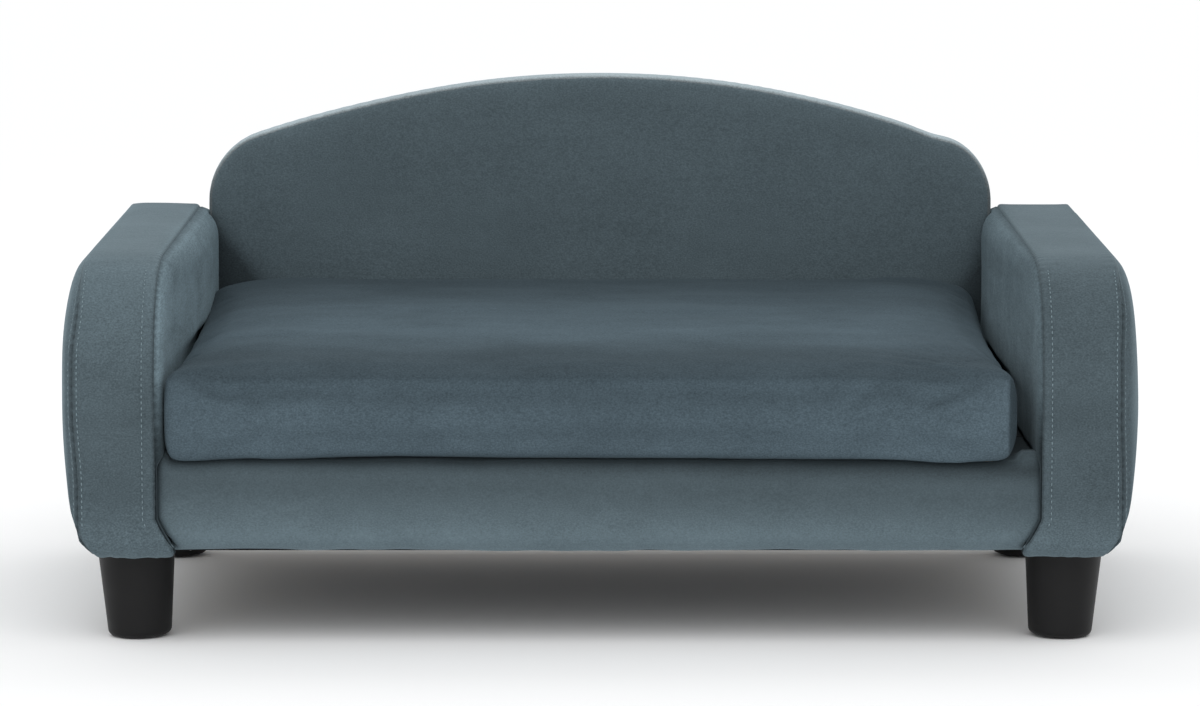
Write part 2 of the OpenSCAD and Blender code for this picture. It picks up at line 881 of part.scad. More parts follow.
function cushion_outline(inset) =
    let (
        x0 = cushion_left_x + inset,
        x1 = cushion_right_x - inset,
        y0 = cushion_front_y + inset,
        y1 = cushion_rear_y - inset,
        rf = inner_r(cushion_front_r, inset),
        rr = inner_r(cushion_rear_r, inset)
    )
    concat(
        arc([x1 - rf, y0 + rf], rf, -90, 0, corner_steps),
        drawn_side([x1, y0 + rf], [x1, y1 - rr], cushion_side_steps),
        arc([x1 - rr, y1 - rr], rr, 0, 90, corner_steps),
        drawn_side([x1 - rr, y1], [x0 + rr, y1], cushion_long_steps),
        arc([x0 + rr, y1 - rr], rr, 90, 180, corner_steps),
        drawn_side([x0, y1 - rr], [x0, y0 + rf], cushion_side_steps),
        arc([x0 + rf, y0 + rf], rf, 180, 270, corner_steps),
        drawn_side([x0 + rf, y0], [x1 - rf, y0], cushion_long_steps)
    );

// Height of the boxed edge at a plan point
function edge_h_at(p) = cushion_edge_h + cushion_rise * (p[1] - cushion_front_y) / cushion_l;

// The points of an outline at a share of the boxed edge's height, less a drop
function edge_ring(outline, share, drop) =
    [for (p = outline) [p[0], p[1], cushion_foot + share * edge_h_at(p) - drop]];

// Height of the top at a plan point, for a share of the way in from the edge
function cushion_top(p, share, inset) =
    cushion_foot + edge_h_at(p) - inset + cushion_crown * sqrt(1 - pow(1 - share, 2));

// Rounding of the upper and lower edges of the boxed side
cushion_round = cushion_edge_h / 6;
// Shares of the crown run at which the top's rings lie, and that run as a share of the depth
cushion_ring_shares = [0.03, 0.12, 0.3, 0.6, 1];
cushion_run_share = 0.22;

function cushion_rings(inset) =
    let (
        round_in = cushion_bulge + cushion_round / 2,
        foot = cushion_foot + inset,
        run = cushion_l * cushion_run_share
    )
    concat(
        [
            lift(cushion_outline(inset + round_in), foot),
            lift(cushion_outline(inset + cushion_bulge), foot + cushion_round / 2),
            edge_ring(cushion_outline(inset), 1 / 3, 0),
            edge_ring(cushion_outline(inset), 2 / 3, inset),
            edge_ring(cushion_outline(inset + cushion_bulge), 1, inset + cushion_round)
        ],
        [
            for (s = cushion_ring_shares)
                let (in_by = inset + round_in + s * run, o = cushion_outline(in_by))
                    [for (p = o) [p[0], p[1], cushion_top(p, s, inset)]]
        ]
    );

module cushion_body(inset) {
    rings = cushion_rings(inset);
    c = [cushion_x, cushion_front_y + cushion_l / 2];
    stack(rings, [c[0], c[1], cushion_foot + inset], [c[0], c[1], cushion_top(c, 1, inset)]);
}

// Zip: slot in the rear of the boxed edge, tapes on its floor and a chain along the middle
zip_z = cushion_foot + (cushion_edge_h + cushion_rise) / 2;
zip_x0 = cushion_left_x + zip_margin;
zip_l = cushion_right_x - zip_margin - zip_x0;
slot_floor_y = cushion_rear_y - zip_slot_depth;
slot_lining_t = 1;
foam_gap = 0.2;
tape_t = 0.6;
chain_w = 1.6;
chain_t = 1.6;
tape_margin = 0.5;
// Gap that keeps the slider off tapes and chain
slider_gap = 0.3;
slider_plate_t = 1;
slider_wedge_w = 1.2;
// Gap between the two halves of the zip, in which the slider's wedge runs
zip_gap = slider_wedge_w + 2 * slider_gap;
tab_t = 1;
tab_w = 5;
bridge_h = 1.8;
pin_r = 0.45;
stop_l = 2;
// Share of the slider's length at which the tab's pin lies
pin_share = 0.35;
// Run of the slot beyond the zip's left end, which the lying tab needs when the zip is open
tab_room = tab_l - stop_l - slider_l * pin_share;

module zip_box(margin, depth, l_margin) {
    x0 = zip_x0 - tab_room - l_margin;
    translate([x0, slot_floor_y - depth, zip_z - zip_slot_h / 2 - margin])
        cube([
            zip_x0 + zip_l + l_margin - x0,
            zip_slot_depth + depth,
            zip_slot_h + 2 * margin
        ]);
}

module cushion_foam() {
    back_space = slider_plate_t + tape_t + 3 * slider_gap;
    color(foam) difference() {
        cushion_body(velvet_t + foam_gap);
        zip_box(slot_lining_t + foam_gap, back_space, slot_lining_t + foam_gap);
    }
}

// Velvet case, closed round the slot by a lining; the tapes lie where the slot opens inwards
module cushion_cover() {
    color(velvet) difference() {
        cushion_body(0);
        difference() {
            cushion_body(velvet_t);
            zip_box(slot_lining_t, 0, slot_lining_t);
        }
        translate([0, over, 0]) zip_box(0, 2 * over, 0);
    }
}

// Each half of the zip stands half a zip_gap from the middle, clear of the slider's wedge
module zip_half_strip(x, l, y, t, h) {
    for (half = [-1, 1])
        translate([x, y, zip_z + (half > 0 ? zip_gap / 2 : -zip_gap / 2 - h)]) cube([l, t, h]);
}

module zip_tapes() {
    color(zip_cloth)
        zip_half_strip(zip_x0, zip_l, slot_floor_y, tape_t, (zip_slot_h - zip_gap) / 2 - tape_margin);
}

module zip_chain() {
    color(black_plastic)
        zip_half_strip(zip_x0 + stop_l, zip_l - 2 * stop_l, slot_floor_y + tape_t, chain_t, chain_w);
}

// End stops: one that joins both halves at the left, and one on each half at the right
module zip_stops() {
    y = slot_floor_y + tape_t;
    color(steel) {
        translate([zip_x0, y, zip_z - zip_gap / 2 - chain_w])
            cube([stop_l, chain_t, zip_gap + 2 * chain_w]);
        zip_half_strip(zip_x0 + zip_l - stop_l, stop_l, y, chain_t, chain_w);
    }
}

slider_x0 = zip_x0 + zip_l - stop_l - slider_gap - slider_l;
slider_top_y = slot_floor_y + tape_t + chain_t + slider_gap;
slider_low_y = slot_floor_y - slider_gap;
bridge_y = slider_top_y + slider_plate_t;
pin_x = slider_x0 + slider_l * pin_share;

// Two plates joined by a wedge at the open end, with flanges and a bridge for the tab
module zip_slider() {
    flange_h = chain_t - slider_gap;
    bridge_w = slider_w / 4;
    color(steel) difference() {
        union() {
            translate([slider_x0, slider_top_y, zip_z - slider_w / 2])
                cube([slider_l, slider_plate_t, slider_w]);
            translate([slider_x0, slider_low_y - slider_plate_t, zip_z - slider_w / 2])
                cube([slider_l, slider_plate_t, slider_w]);
            translate([slider_x0 + slider_l * 0.65, slider_low_y, zip_z - slider_wedge_w / 2])
                cube([slider_l * 0.35, slider_top_y - slider_low_y, slider_wedge_w]);
            for (half = [-1, 1])
                translate([
                    slider_x0,
                    slider_top_y - flange_h + slider_gap,
                    zip_z + half * (slider_w - slider_plate_t) / 2 - slider_plate_t / 2
                ])
                    cube([slider_l, flange_h, slider_plate_t]);
            translate([slider_x0 + slider_l * 0.15, bridge_y, zip_z - bridge_w / 2])
                cube([slider_l * 0.7, bridge_h, bridge_w]);
        }
        translate([pin_x, bridge_y + bridge_h / 2, zip_z - slider_w])
            cylinder(h = 2 * slider_w, r = pin_r + thread_gap);
    }
}

// Flat tab with two ears and a pin through the bridge
module zip_pull_tab() {
    $fn = small_fn;
    bridge_w = slider_w / 4;
    ear_t = (tab_w - bridge_w) / 2 - slider_gap;
    y = bridge_y + bridge_h / 2;
    color(steel) {
        difference() {
            translate([pin_x - tab_l, y - tab_t / 2, zip_z - tab_w / 2])
                cube([tab_l, tab_t, tab_w]);
            translate([slider_x0, y - tab_t, zip_z - bridge_w / 2 - slider_gap])
                cube([slider_l, 2 * tab_t, bridge_w + 2 * slider_gap]);
            translate([pin_x - tab_l + tab_w / 2, y - tab_t, zip_z])
                rotate([-90, 0, 0]) cylinder(h = 2 * tab_t, r = tab_w / 4);
        }
        for (half = [-1, 1])
            translate([pin_x, y, zip_z + half * (tab_w - ear_t) / 2 - ear_t / 2])
                cylinder(h = ear_t, r = tab_t / 2);
        translate([pin_x, y, zip_z - tab_w / 2]) cylinder(h = tab_w, r = pin_r);
    }
}

front_rail();
rear_rail();
end_rail(-1);  // left_end_rail
end_rail(1);  // right_end_rail
deck_slats();
corner_blocks();
seat_deck();
front_foam();
base_cover();
deck_lining();
dust_cover();
arm_sill(-1);  // left_arm_sill
arm_inner_board(-1);  // left_arm_inner_board
arm_outer_board(-1);  // left_arm_outer_board
arm_posts(-1);  // left_arm_posts
arm_nosing(-1);  // left_arm_nosing
arm_foam(-1);  // left_arm_foam
arm_inner_panel(-1);  // left_arm_inner_panel
arm_outer_panel(-1);  // left_arm_outer_panel
arm_band(-1);  // left_arm_band
arm_sill(1);  // right_arm_sill
arm_inner_board(1);  // right_arm_inner_board
arm_outer_board(1);  // right_arm_outer_board
arm_posts(1);  // right_arm_posts
arm_nosing(1);  // right_arm_nosing
arm_foam(1);  // right_arm_foam
arm_inner_panel(1);  // right_arm_inner_panel
arm_outer_panel(1);  // right_arm_outer_panel
arm_band(1);  // right_arm_band
back_board();
back_front_foam();
back_rear_foam();
back_front_panel();
back_rear_panel();
back_band();
leg(-1, -1);  // front_left_leg
leg(1, -1);  // front_right_leg
leg(-1, 1);  // rear_left_leg
leg(1, 1);  // rear_right_leg
leg_glides();
leg_studs();
leg_tee_nuts();
arm_bolts();
arm_washers();
arm_tee_nuts();
back_bolts();
back_washers();
back_tee_nuts();
cushion_foam();
cushion_cover();
zip_tapes();
zip_chain();
zip_stops();
zip_slider();
zip_pull_tab();
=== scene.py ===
# %% [markdown]
# A dog sofa in slate velvet, dressed around its CAD frame.
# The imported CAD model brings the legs, the wood and the fasteners at their true places, and it
# holds every soft part as a plain solid. This lesson makes the upholstery that is really seen:
# swelling panels, padded bands with their topstitching, the front of the seat base, the arched
# back and the loose boxed cushion. Everything is in metres, in the CAD's own frame.

# %% Load the frame
import json
import math

import bmesh
import bpy
import numpy as np
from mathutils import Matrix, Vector


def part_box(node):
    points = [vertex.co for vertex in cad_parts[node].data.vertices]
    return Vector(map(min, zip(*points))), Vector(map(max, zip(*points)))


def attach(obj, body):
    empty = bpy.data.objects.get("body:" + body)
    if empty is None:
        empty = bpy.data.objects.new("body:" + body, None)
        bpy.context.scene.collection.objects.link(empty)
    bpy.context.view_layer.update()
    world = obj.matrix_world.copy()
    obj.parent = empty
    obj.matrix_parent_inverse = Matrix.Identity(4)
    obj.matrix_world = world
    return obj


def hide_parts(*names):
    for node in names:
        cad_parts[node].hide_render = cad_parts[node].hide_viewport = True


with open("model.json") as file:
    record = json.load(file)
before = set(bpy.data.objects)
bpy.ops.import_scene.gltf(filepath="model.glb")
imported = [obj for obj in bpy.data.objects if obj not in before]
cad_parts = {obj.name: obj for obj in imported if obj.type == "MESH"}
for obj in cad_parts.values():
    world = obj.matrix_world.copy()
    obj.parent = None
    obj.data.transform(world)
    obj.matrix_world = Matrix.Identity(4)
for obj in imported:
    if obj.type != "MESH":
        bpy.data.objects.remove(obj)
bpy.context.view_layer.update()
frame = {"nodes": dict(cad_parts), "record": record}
MM = 0.001

# %% [markdown]
# The camera comes first, because every later choice of detail depends on how large it shows.
# The photograph was taken from about four metres with a long lens, a little above the seat, so
# the arms' tops and the cushion's top are seen at a low angle. The floor is a plain pale
# sheet and the light is soft: a bright surround, as round a product on a white table, and one
# large lamp above the camera. It is so large and so far away that a wide-angled sun stands for
# it, and lights the sheet evenly to its end. A weak lamp behind lights the rim of the back.

# %% Camera
PHOTO_WIDTH_PX, FOCAL_PX = 1200, 5458.5
SENSOR = 36.0
CAMERA_DISTANCE, CAMERA_HEIGHT, CAMERA_PITCH = 4.2444, 0.7197, 7.11
lens_data = bpy.data.cameras.new("camera")
lens_data.sensor_width = SENSOR
lens_data.lens = FOCAL_PX / PHOTO_WIDTH_PX * SENSOR
lens_data.clip_end = 100
camera = bpy.data.objects.new("camera", lens_data)
camera.location = (0, -CAMERA_DISTANCE, CAMERA_HEIGHT)
camera.rotation_euler = (math.radians(90 - CAMERA_PITCH), 0, 0)
bpy.context.collection.objects.link(camera)
bpy.context.scene.camera = camera
bpy.context.scene.view_settings.view_transform = "Standard"
print("lens", round(lens_data.lens, 1), "mm")

# %% Light and surround


def area_light(name, place, aim, size, power):
    data = bpy.data.lights.new(name, "AREA")
    data.shape = "RECTANGLE"
    data.size, data.size_y = size
    data.energy = power
    lamp = bpy.data.objects.new(name, data)
    lamp.location = place
    lamp.rotation_euler = (Vector(aim) - Vector(place)).to_track_quat("-Z", "Y").to_euler()
    bpy.context.collection.objects.link(lamp)


def soft_sun(name, azimuth, elevation, strength, width):
    """A sun that comes from the given bearing, in degrees left of the camera's axis."""
    data = bpy.data.lights.new(name, "SUN")
    data.energy = strength
    data.angle = math.radians(width)
    lamp = bpy.data.objects.new(name, data)
    lamp.rotation_euler = (math.radians(90 - elevation), 0, -math.radians(azimuth))
    bpy.context.collection.objects.link(lamp)


soft_sun("key", azimuth=5, elevation=42, strength=1.6, width=75)
area_light("rear", place=(0.0, 1.3, 2.1), aim=(0, 0, 0.2), size=(2.2, 0.9), power=7)

world = bpy.data.worlds.new("surround")
bpy.context.scene.world = world
world.use_nodes = True
surround = world.node_tree.nodes["Background"]
surround.inputs["Color"].default_value = (1, 1, 1, 1)
surround.inputs["Strength"].default_value = 0.74

# %% Small tools for meshes


def link_mesh(name, verts, faces, uvs=None, shade=None):
    """A mesh object from arrays, with an optional UV and an optional painted seam shade for each vertex."""
    mesh = bpy.data.meshes.new(name)
    mesh.from_pydata([tuple(v) for v in verts], [], faces)
    if shade is not None:
        layer = mesh.attributes.new("painted_seam_shade", "FLOAT", "POINT")
        layer.data.foreach_set("value", shade.astype(np.float32))
    if uvs is not None:
        layer = mesh.uv_layers.new(name="cloth")
        index = np.zeros(len(mesh.loops), dtype=np.int32)
        mesh.loops.foreach_get("vertex_index", index)
        layer.data.foreach_set("uv", np.asarray(uvs)[index].astype(np.float32).ravel())
    mesh.shade_smooth()
    mesh.update()
    piece = bpy.data.objects.new(name, mesh)
    bpy.context.collection.objects.link(piece)
    return piece


def outward(piece):
    """Turns all faces of a closed mesh outwards."""
    work = bmesh.new()
    work.from_mesh(piece.data)
    bmesh.ops.remove_doubles(work, verts=work.verts, dist=1e-6)
    bmesh.ops.recalc_face_normals(work, faces=work.faces)
    work.to_mesh(piece.data)
    work.free()
    piece.data.shade_smooth()
    return piece


def arc(cx, cy, r, start, end, n):
    """Points on a circle, from a start to an end angle in degrees, in n steps."""
    a = np.radians(np.linspace(start, end, n + 1))
    return np.stack([cx + r * np.cos(a), cy + r * np.sin(a)], axis=1)


def length_along(line):
    """Length from a polyline's start to each of its points."""
    return np.concatenate([[0], np.cumsum(np.linalg.norm(np.diff(line, axis=0), axis=1))])


def resample(line, positions):
    """Points of a polyline at the given lengths along it."""
    s = length_along(line)
    return np.stack([np.interp(positions, s, line[:, k]) for k in range(line.shape[1])], axis=1)


def closed_ring(line):
    """The line with its first point again at the end."""
    return np.concatenate([line, line[:1]])


def evenly(line, count):
    """Evenly spaced points round a closed line, without its last one."""
    return resample(line, np.linspace(0, length_along(line)[-1], count, endpoint=False))


def smooth_step(x):
    """0 up to 0, 1 from 1 on, and an S-shaped rise between them."""
    x = np.clip(x, 0, 1)
    return x * x * (3 - 2 * x)


def crowded(n, share=0.5):
    """n + 1 values from 0 to 1 that lie closer together near both ends."""
    t = np.linspace(0, 1, n + 1)
    return (1 - share) * t + share * (0.5 - 0.5 * np.cos(np.pi * t))


def ripple(points, wavelength, seed):
    """Smooth irregular swell of points, about -1 to 1, made of crossed sine waves."""
    draw = np.random.default_rng(seed)
    waves = 14
    points = np.asarray(points)
    total = np.zeros(points.shape[:-1])
    for _ in range(waves):
        direction = draw.normal(size=points.shape[-1])
        direction /= np.linalg.norm(direction)
        k = 2 * np.pi / (wavelength * draw.uniform(0.7, 1.5))
        total += np.sin(points @ direction * k + draw.uniform(0, 2 * np.pi))
    return total / math.sqrt(waves)


# %% [markdown]
# The velvet is one cloth over the whole sofa, so its parts are shader node groups that every
# upholstery material shares. Velvet is read by three things: broad clouds where the pile has been
# brushed another way, small crushed flecks, and a very fine grain of pile tips. They could be
# painted, but a pattern on Object coordinates needs no picture and never stretches. A group gives
# only colours and heights; the sheen that lights up at grazing angles stays on the
# Principled shader itself.

# %% Shader node groups


def new_group(name, inputs, outputs):
    """A shader node group with its inputs and outputs, and the nodes that stand for them."""
    group = bpy.data.node_groups.new(name, "ShaderNodeTree")
    for label, kind, value in inputs:
        socket = group.interface.new_socket(label, in_out="INPUT", socket_type=kind)
        if value is not None:
            socket.default_value = value
    for label, kind in outputs:
        group.interface.new_socket(label, in_out="OUTPUT", socket_type=kind)
    return group, group.nodes.new("NodeGroupInput"), group.nodes.new("NodeGroupOutput")


def noise(tree, vector, scale, detail=3.0, rough=0.55, stretch=None, distortion=0.0):
    """A noise texture on a vector; stretch divides the pattern's scale along X, Y and Z."""
    if stretch is not None:
        mapping = tree.nodes.new("ShaderNodeMapping")
        mapping.inputs["Scale"].default_value = stretch
        tree.links.new(vector, mapping.inputs["Vector"])
        vector = mapping.outputs["Vector"]
    node = tree.nodes.new("ShaderNodeTexNoise")
    node.inputs["Scale"].default_value = scale
    node.inputs["Detail"].default_value = detail
    node.inputs["Roughness"].default_value = rough
    node.inputs["Distortion"].default_value = distortion
    tree.links.new(vector, node.inputs["Vector"])
    return node.outputs["Fac"]


def maths(tree, operation, a, b=None, c=None, clamp=False):
    """One step of arithmetic on numbers or sockets."""
    node = tree.nodes.new("ShaderNodeMath")
    node.operation = operation
    node.use_clamp = clamp
    for socket, value in zip(node.inputs, (a, b, c)):
        if value is None:
            continue
        if isinstance(value, (int, float)):
            socket.default_value = value
        else:
            tree.links.new(value, socket)
    return node.outputs[0]


def centred(tree, value, gain):
    """gain times (value - 0.5)"""
    return maths(tree, "MULTIPLY", maths(tree, "SUBTRACT", value, 0.5), gain)


def scaled_colour(tree, colour, factor):
    """A colour times a factor."""
    node = tree.nodes.new("ShaderNodeVectorMath")
    node.operation = "SCALE"
    tree.links.new(colour, node.inputs[0])
    tree.links.new(factor, node.inputs["Scale"])
    return node.outputs[0]


def mixed(tree, factor, a, b):
    """A colour between two others."""
    node = tree.nodes.new("ShaderNodeMix")
    node.data_type = "RGBA"
    for socket, value in ((node.inputs["Factor"], factor), (node.inputs["A"], a), (node.inputs["B"], b)):
        if isinstance(value, (int, float, tuple)):
            socket.default_value = value
        else:
            tree.links.new(value, socket)
    return node.outputs["Result"]


def component(tree, vector, axis):
    """One component of a vector, by its name X, Y or Z."""
    split = tree.nodes.new("ShaderNodeSeparateXYZ")
    tree.links.new(vector, split.inputs[0])
    return split.outputs[axis]


def upward_share(tree):
    """How far a surface faces up, from 0 on an upright one to 1 on a level one."""
    normal = tree.nodes.new("ShaderNodeNewGeometry").outputs["Normal"]
    return maths(tree, "MAXIMUM", component(tree, normal, "Z"), 0.0)


# %% Brushed pile
# clouds, flecks and grain, as a colour factor and a height; the colour also takes the factor for painted
# light and shade
pile, pile_in, pile_out = new_group(
    "brushed_pile_and_painted_light",
    [("Vector", "NodeSocketVector", None), ("Colour", "NodeSocketColor", (0.1, 0.1, 0.1, 1)),
     ("Clouds", "NodeSocketFloat", 0.3), ("Flecks", "NodeSocketFloat", 0.25),
     ("Grain", "NodeSocketFloat", 0.35), ("Painted light", "NodeSocketFloat", 1.0)],
    [("Colour", "NodeSocketColor"), ("Roughness", "NodeSocketFloat"), ("Height", "NodeSocketFloat")],
)
spot = pile_in.outputs["Vector"]
cloud = noise(pile, spot, 9, detail=2.5, rough=0.5, distortion=0.6)
streak = noise(pile, spot, 26, detail=4, rough=0.6, stretch=(0.35, 1.0, 1.6), distortion=0.3)
fleck = noise(pile, spot, 95, detail=5, rough=0.68)
grain = noise(pile, spot, 900, detail=2, rough=0.6, stretch=(0.75, 0.8, 1.0))
factor = maths(pile, "MULTIPLY", centred(pile, cloud, 1.0), pile_in.outputs["Clouds"])
factor = maths(pile, "MULTIPLY_ADD", centred(pile, streak, 0.8), pile_in.outputs["Clouds"], factor)
factor = maths(pile, "MULTIPLY_ADD", centred(pile, fleck, 1.0), pile_in.outputs["Flecks"], factor)
factor = maths(pile, "MULTIPLY_ADD", centred(pile, grain, 1.0), pile_in.outputs["Grain"], factor)
tone = maths(pile, "MULTIPLY", maths(pile, "ADD", factor, 1.0), pile_in.outputs["Painted light"])
pile.links.new(scaled_colour(pile, pile_in.outputs["Colour"], tone), pile_out.inputs["Colour"])
pile.links.new(maths(pile, "MULTIPLY_ADD", factor, -0.2, 0.86, clamp=True), pile_out.inputs["Roughness"])
height = maths(pile, "MULTIPLY", grain, 0.25)
height = maths(pile, "MULTIPLY_ADD", fleck, 0.55, height)
height = maths(pile, "MULTIPLY_ADD", streak, 0.5, height)
pile.links.new(height, pile_out.inputs["Height"])

print("pile:", len(pile.nodes), "nodes")

# %% Wear and dust
# hard parts are paler where edges are rubbed and where dust settles on top
rubbed, rubbed_in, rubbed_out = new_group(
    "rubbed_and_dusty",
    [("Vector", "NodeSocketVector", None), ("Colour", "NodeSocketColor", (0.1, 0.1, 0.1, 1)),
     ("Rubbed colour", "NodeSocketColor", (0.2, 0.2, 0.2, 1)), ("Rubbing", "NodeSocketFloat", 0.5),
     ("Dust", "NodeSocketFloat", 0.1), ("Roughness", "NodeSocketFloat", 0.4)],
    [("Colour", "NodeSocketColor"), ("Roughness", "NodeSocketFloat"), ("Height", "NodeSocketFloat")],
)
place = rubbed_in.outputs["Vector"]
pointiness = rubbed.nodes.new("ShaderNodeNewGeometry").outputs["Pointiness"]
sharp = maths(rubbed, "SUBTRACT", pointiness, 0.52)
edge = maths(rubbed, "MULTIPLY", sharp, 12.0, clamp=True)
patchy = noise(rubbed, place, 60, detail=4, rough=0.6)
rubbing = maths(rubbed, "MULTIPLY", patchy, rubbed_in.outputs["Rubbing"])
edge = maths(rubbed, "MULTIPLY", edge, rubbing, clamp=True)
settled = maths(rubbed, "MULTIPLY", upward_share(rubbed), noise(rubbed, place, 35))
settled = maths(rubbed, "MULTIPLY", settled, rubbed_in.outputs["Dust"], clamp=True)
colour = mixed(rubbed, edge, rubbed_in.outputs["Colour"], rubbed_in.outputs["Rubbed colour"])
colour = mixed(rubbed, settled, colour, (0.45, 0.44, 0.42, 1))
rubbed.links.new(colour, rubbed_out.inputs["Colour"])
fine = noise(rubbed, place, 420, detail=3, rough=0.6)
rubbed.links.new(
    maths(rubbed, "ADD", rubbed_in.outputs["Roughness"], centred(rubbed, patchy, 0.22), clamp=True),
    rubbed_out.inputs["Roughness"])
rubbed.links.new(fine, rubbed_out.inputs["Height"])
print("groups:", [g.name for g in bpy.data.node_groups])

# %% Materials from the groups


def new_material(name):
    """A material with its tree, its shader and its Object coordinates."""
    made = bpy.data.materials.new(name)
    made.use_nodes = True
    tree = made.node_tree
    shader = tree.nodes["Principled BSDF"]
    coords = tree.nodes.new("ShaderNodeTexCoord").outputs["Object"]
    return made, tree, shader, coords


def place_group(tree, group, coords, values):
    """A node group in a material, with its inputs set."""
    node = tree.nodes.new("ShaderNodeGroup")
    node.node_tree = group
    tree.links.new(coords, node.inputs["Vector"])
    for label, value in values.items():
        node.inputs[label].default_value = value
    return node


def bumped(tree, shader, height, depth):
    bump = tree.nodes.new("ShaderNodeBump")
    bump.inputs["Distance"].default_value = depth
    bump.inputs["Strength"].default_value = 1.0
    tree.links.new(height, bump.inputs["Height"])
    tree.links.new(bump.outputs["Normal"], shader.inputs["Normal"])


def wired(tree, shader, node, depth, specular):
    """Wires a group's colour, roughness and height into the shader."""
    tree.links.new(node.outputs["Colour"], shader.inputs["Base Color"])
    tree.links.new(node.outputs["Roughness"], shader.inputs["Roughness"])
    shader.inputs["Specular IOR Level"].default_value = specular
    bumped(tree, shader, node.outputs["Height"], depth)


def velvet_material(name, colour, clouds=0.34, flecks=0.25, grain=1.3, sheen=0.25, depth=0.5 * MM,
                    painted_light=None, stretch=(1, 1, 1), specular=0.12):
    """Velvet in a colour, with an optional factor on it from the tree and the coordinates, for painted light
    and shade.
    """
    made, tree, shader, coords = new_material(name)
    mapping = tree.nodes.new("ShaderNodeMapping")
    mapping.inputs["Scale"].default_value = stretch
    tree.links.new(coords, mapping.inputs["Vector"])
    node = place_group(tree, pile, mapping.outputs["Vector"], {
        "Colour": (*colour, 1), "Clouds": clouds, "Flecks": flecks, "Grain": grain})
    if painted_light is not None:
        tree.links.new(painted_light(tree, coords), node.inputs["Painted light"])
    wired(tree, shader, node, depth, specular)
    shader.inputs["Sheen Weight"].default_value = sheen
    shader.inputs["Sheen Roughness"].default_value = 0.5
    shader.inputs["Sheen Tint"].default_value = (0.56, 0.74, 0.83, 1)
    return made


def hard_material(name, colour, rubbed_colour, roughness, rubbing=0.5, dust=0.1, metallic=0.0,
                  depth=0.05 * MM, specular=0.5):
    made, tree, shader, coords = new_material(name)
    node = place_group(tree, rubbed, coords, {
        "Colour": (*colour, 1), "Rubbed colour": (*rubbed_colour, 1), "Rubbing": rubbing,
        "Dust": dust, "Roughness": roughness})
    wired(tree, shader, node, depth, specular)
    shader.inputs["Metallic"].default_value = metallic
    return made


print("materials so far:", len(bpy.data.materials))

# %% [markdown]
# Each velvet gets a factor on its colour, made from where a point lies and how far it faces
# up. It is painted light and shade: lighter where the light falls, darker in corners, gaps and
# under overhangs. It runs in soft steps between a few levels.

# %% Painted light and shade on the velvet


def stepped(tree, value, stops):
    """A factor that runs through the stops, (share, factor) pairs, as the value goes from 0 to 1.
    A ramp holds no level over 1, so it is drawn at half height and doubled."""
    node = tree.nodes.new("ShaderNodeValToRGB")
    ramp = node.color_ramp
    while len(ramp.elements) < len(stops):
        ramp.elements.new(0.5)
    for element, (position, level) in zip(ramp.elements, stops):
        element.position = position
        element.color = (level / 2, level / 2, level / 2, 1)
    tree.links.new(value, node.inputs["Fac"])
    return maths(tree, "MULTIPLY", node.outputs["Color"], 2.0)


def banded(tree, coords, direction, start, end, stops, wave=0.09):
    """A factor that runs through the stops from start to end along a direction, with wavy limits."""
    along = tree.nodes.new("ShaderNodeVectorMath")
    along.operation = "DOT_PRODUCT"
    along.inputs[1].default_value = direction
    tree.links.new(coords, along.inputs[0])
    share = maths(tree, "DIVIDE", maths(tree, "SUBTRACT", along.outputs["Value"], start), end - start)
    level = maths(tree, "SUBTRACT", share, wave / 2)
    wavy = maths(tree, "MULTIPLY_ADD", noise(tree, coords, 14, detail=3), wave, level)
    return stepped(tree, wavy, stops)


def seam_shaded(tree, factor):
    """The factor, less near the seams, where painted shade darkens the seam's groove."""
    shade = tree.nodes.new("ShaderNodeAttribute")
    shade.attribute_name = "painted_seam_shade"
    return maths(tree, "MULTIPLY", factor, maths(tree, "MULTIPLY_ADD", shade.outputs["Fac"], -0.6, 1.0))


def smudged(tree, coords, scale, amount, stretch=(1, 1, 1)):
    """A factor about 1 for the marks that hands and paws leave in the pile."""
    marks = noise(tree, coords, scale, detail=4, rough=0.62, stretch=stretch, distortion=0.7)
    return maths(tree, "MULTIPLY_ADD", centred(tree, marks, 2.0), amount, 1.0)


# %% The painted light and shade of each piece


def arm_painted_light(tree, coords):
    # painted light by how far a surface faces up: a strong highlight over the left arm's nose and top,
    # but on the right arm slight painted shade over the curve and the flat top
    upward = upward_share(tree)
    left = stepped(tree, upward, (
        (0.0, 1.0), (0.4, 1.24), (0.65, 1.36), (0.82, 1.48), (0.93, 1.5), (0.985, 1.36), (1.0, 1.09)))
    right = stepped(tree, upward, (
        (0.0, 1.0), (0.4, 0.95), (0.82, 0.95), (0.93, 1.0), (0.985, 1.0), (1.0, 0.88)))
    on_right = maths(tree, "GREATER_THAN", component(tree, coords, "X"), 0.0)
    top_highlight = maths(tree, "MULTIPLY_ADD", on_right, maths(tree, "SUBTRACT", right, left), left)
    # painted light from the pale floor: lighter towards each arm's foot
    low = banded(tree, coords, (0, 0, 1), 0.067, 0.127, ((0.0, 1.5), (0.3, 1.3), (0.75, 1.0), (1.0, 1.0)))
    marked = smudged(tree, coords, 22, 0.16, stretch=(1, 0.6, 1))
    return seam_shaded(tree, maths(tree, "MULTIPLY", marked, maths(tree, "MULTIPLY", top_highlight, low)))


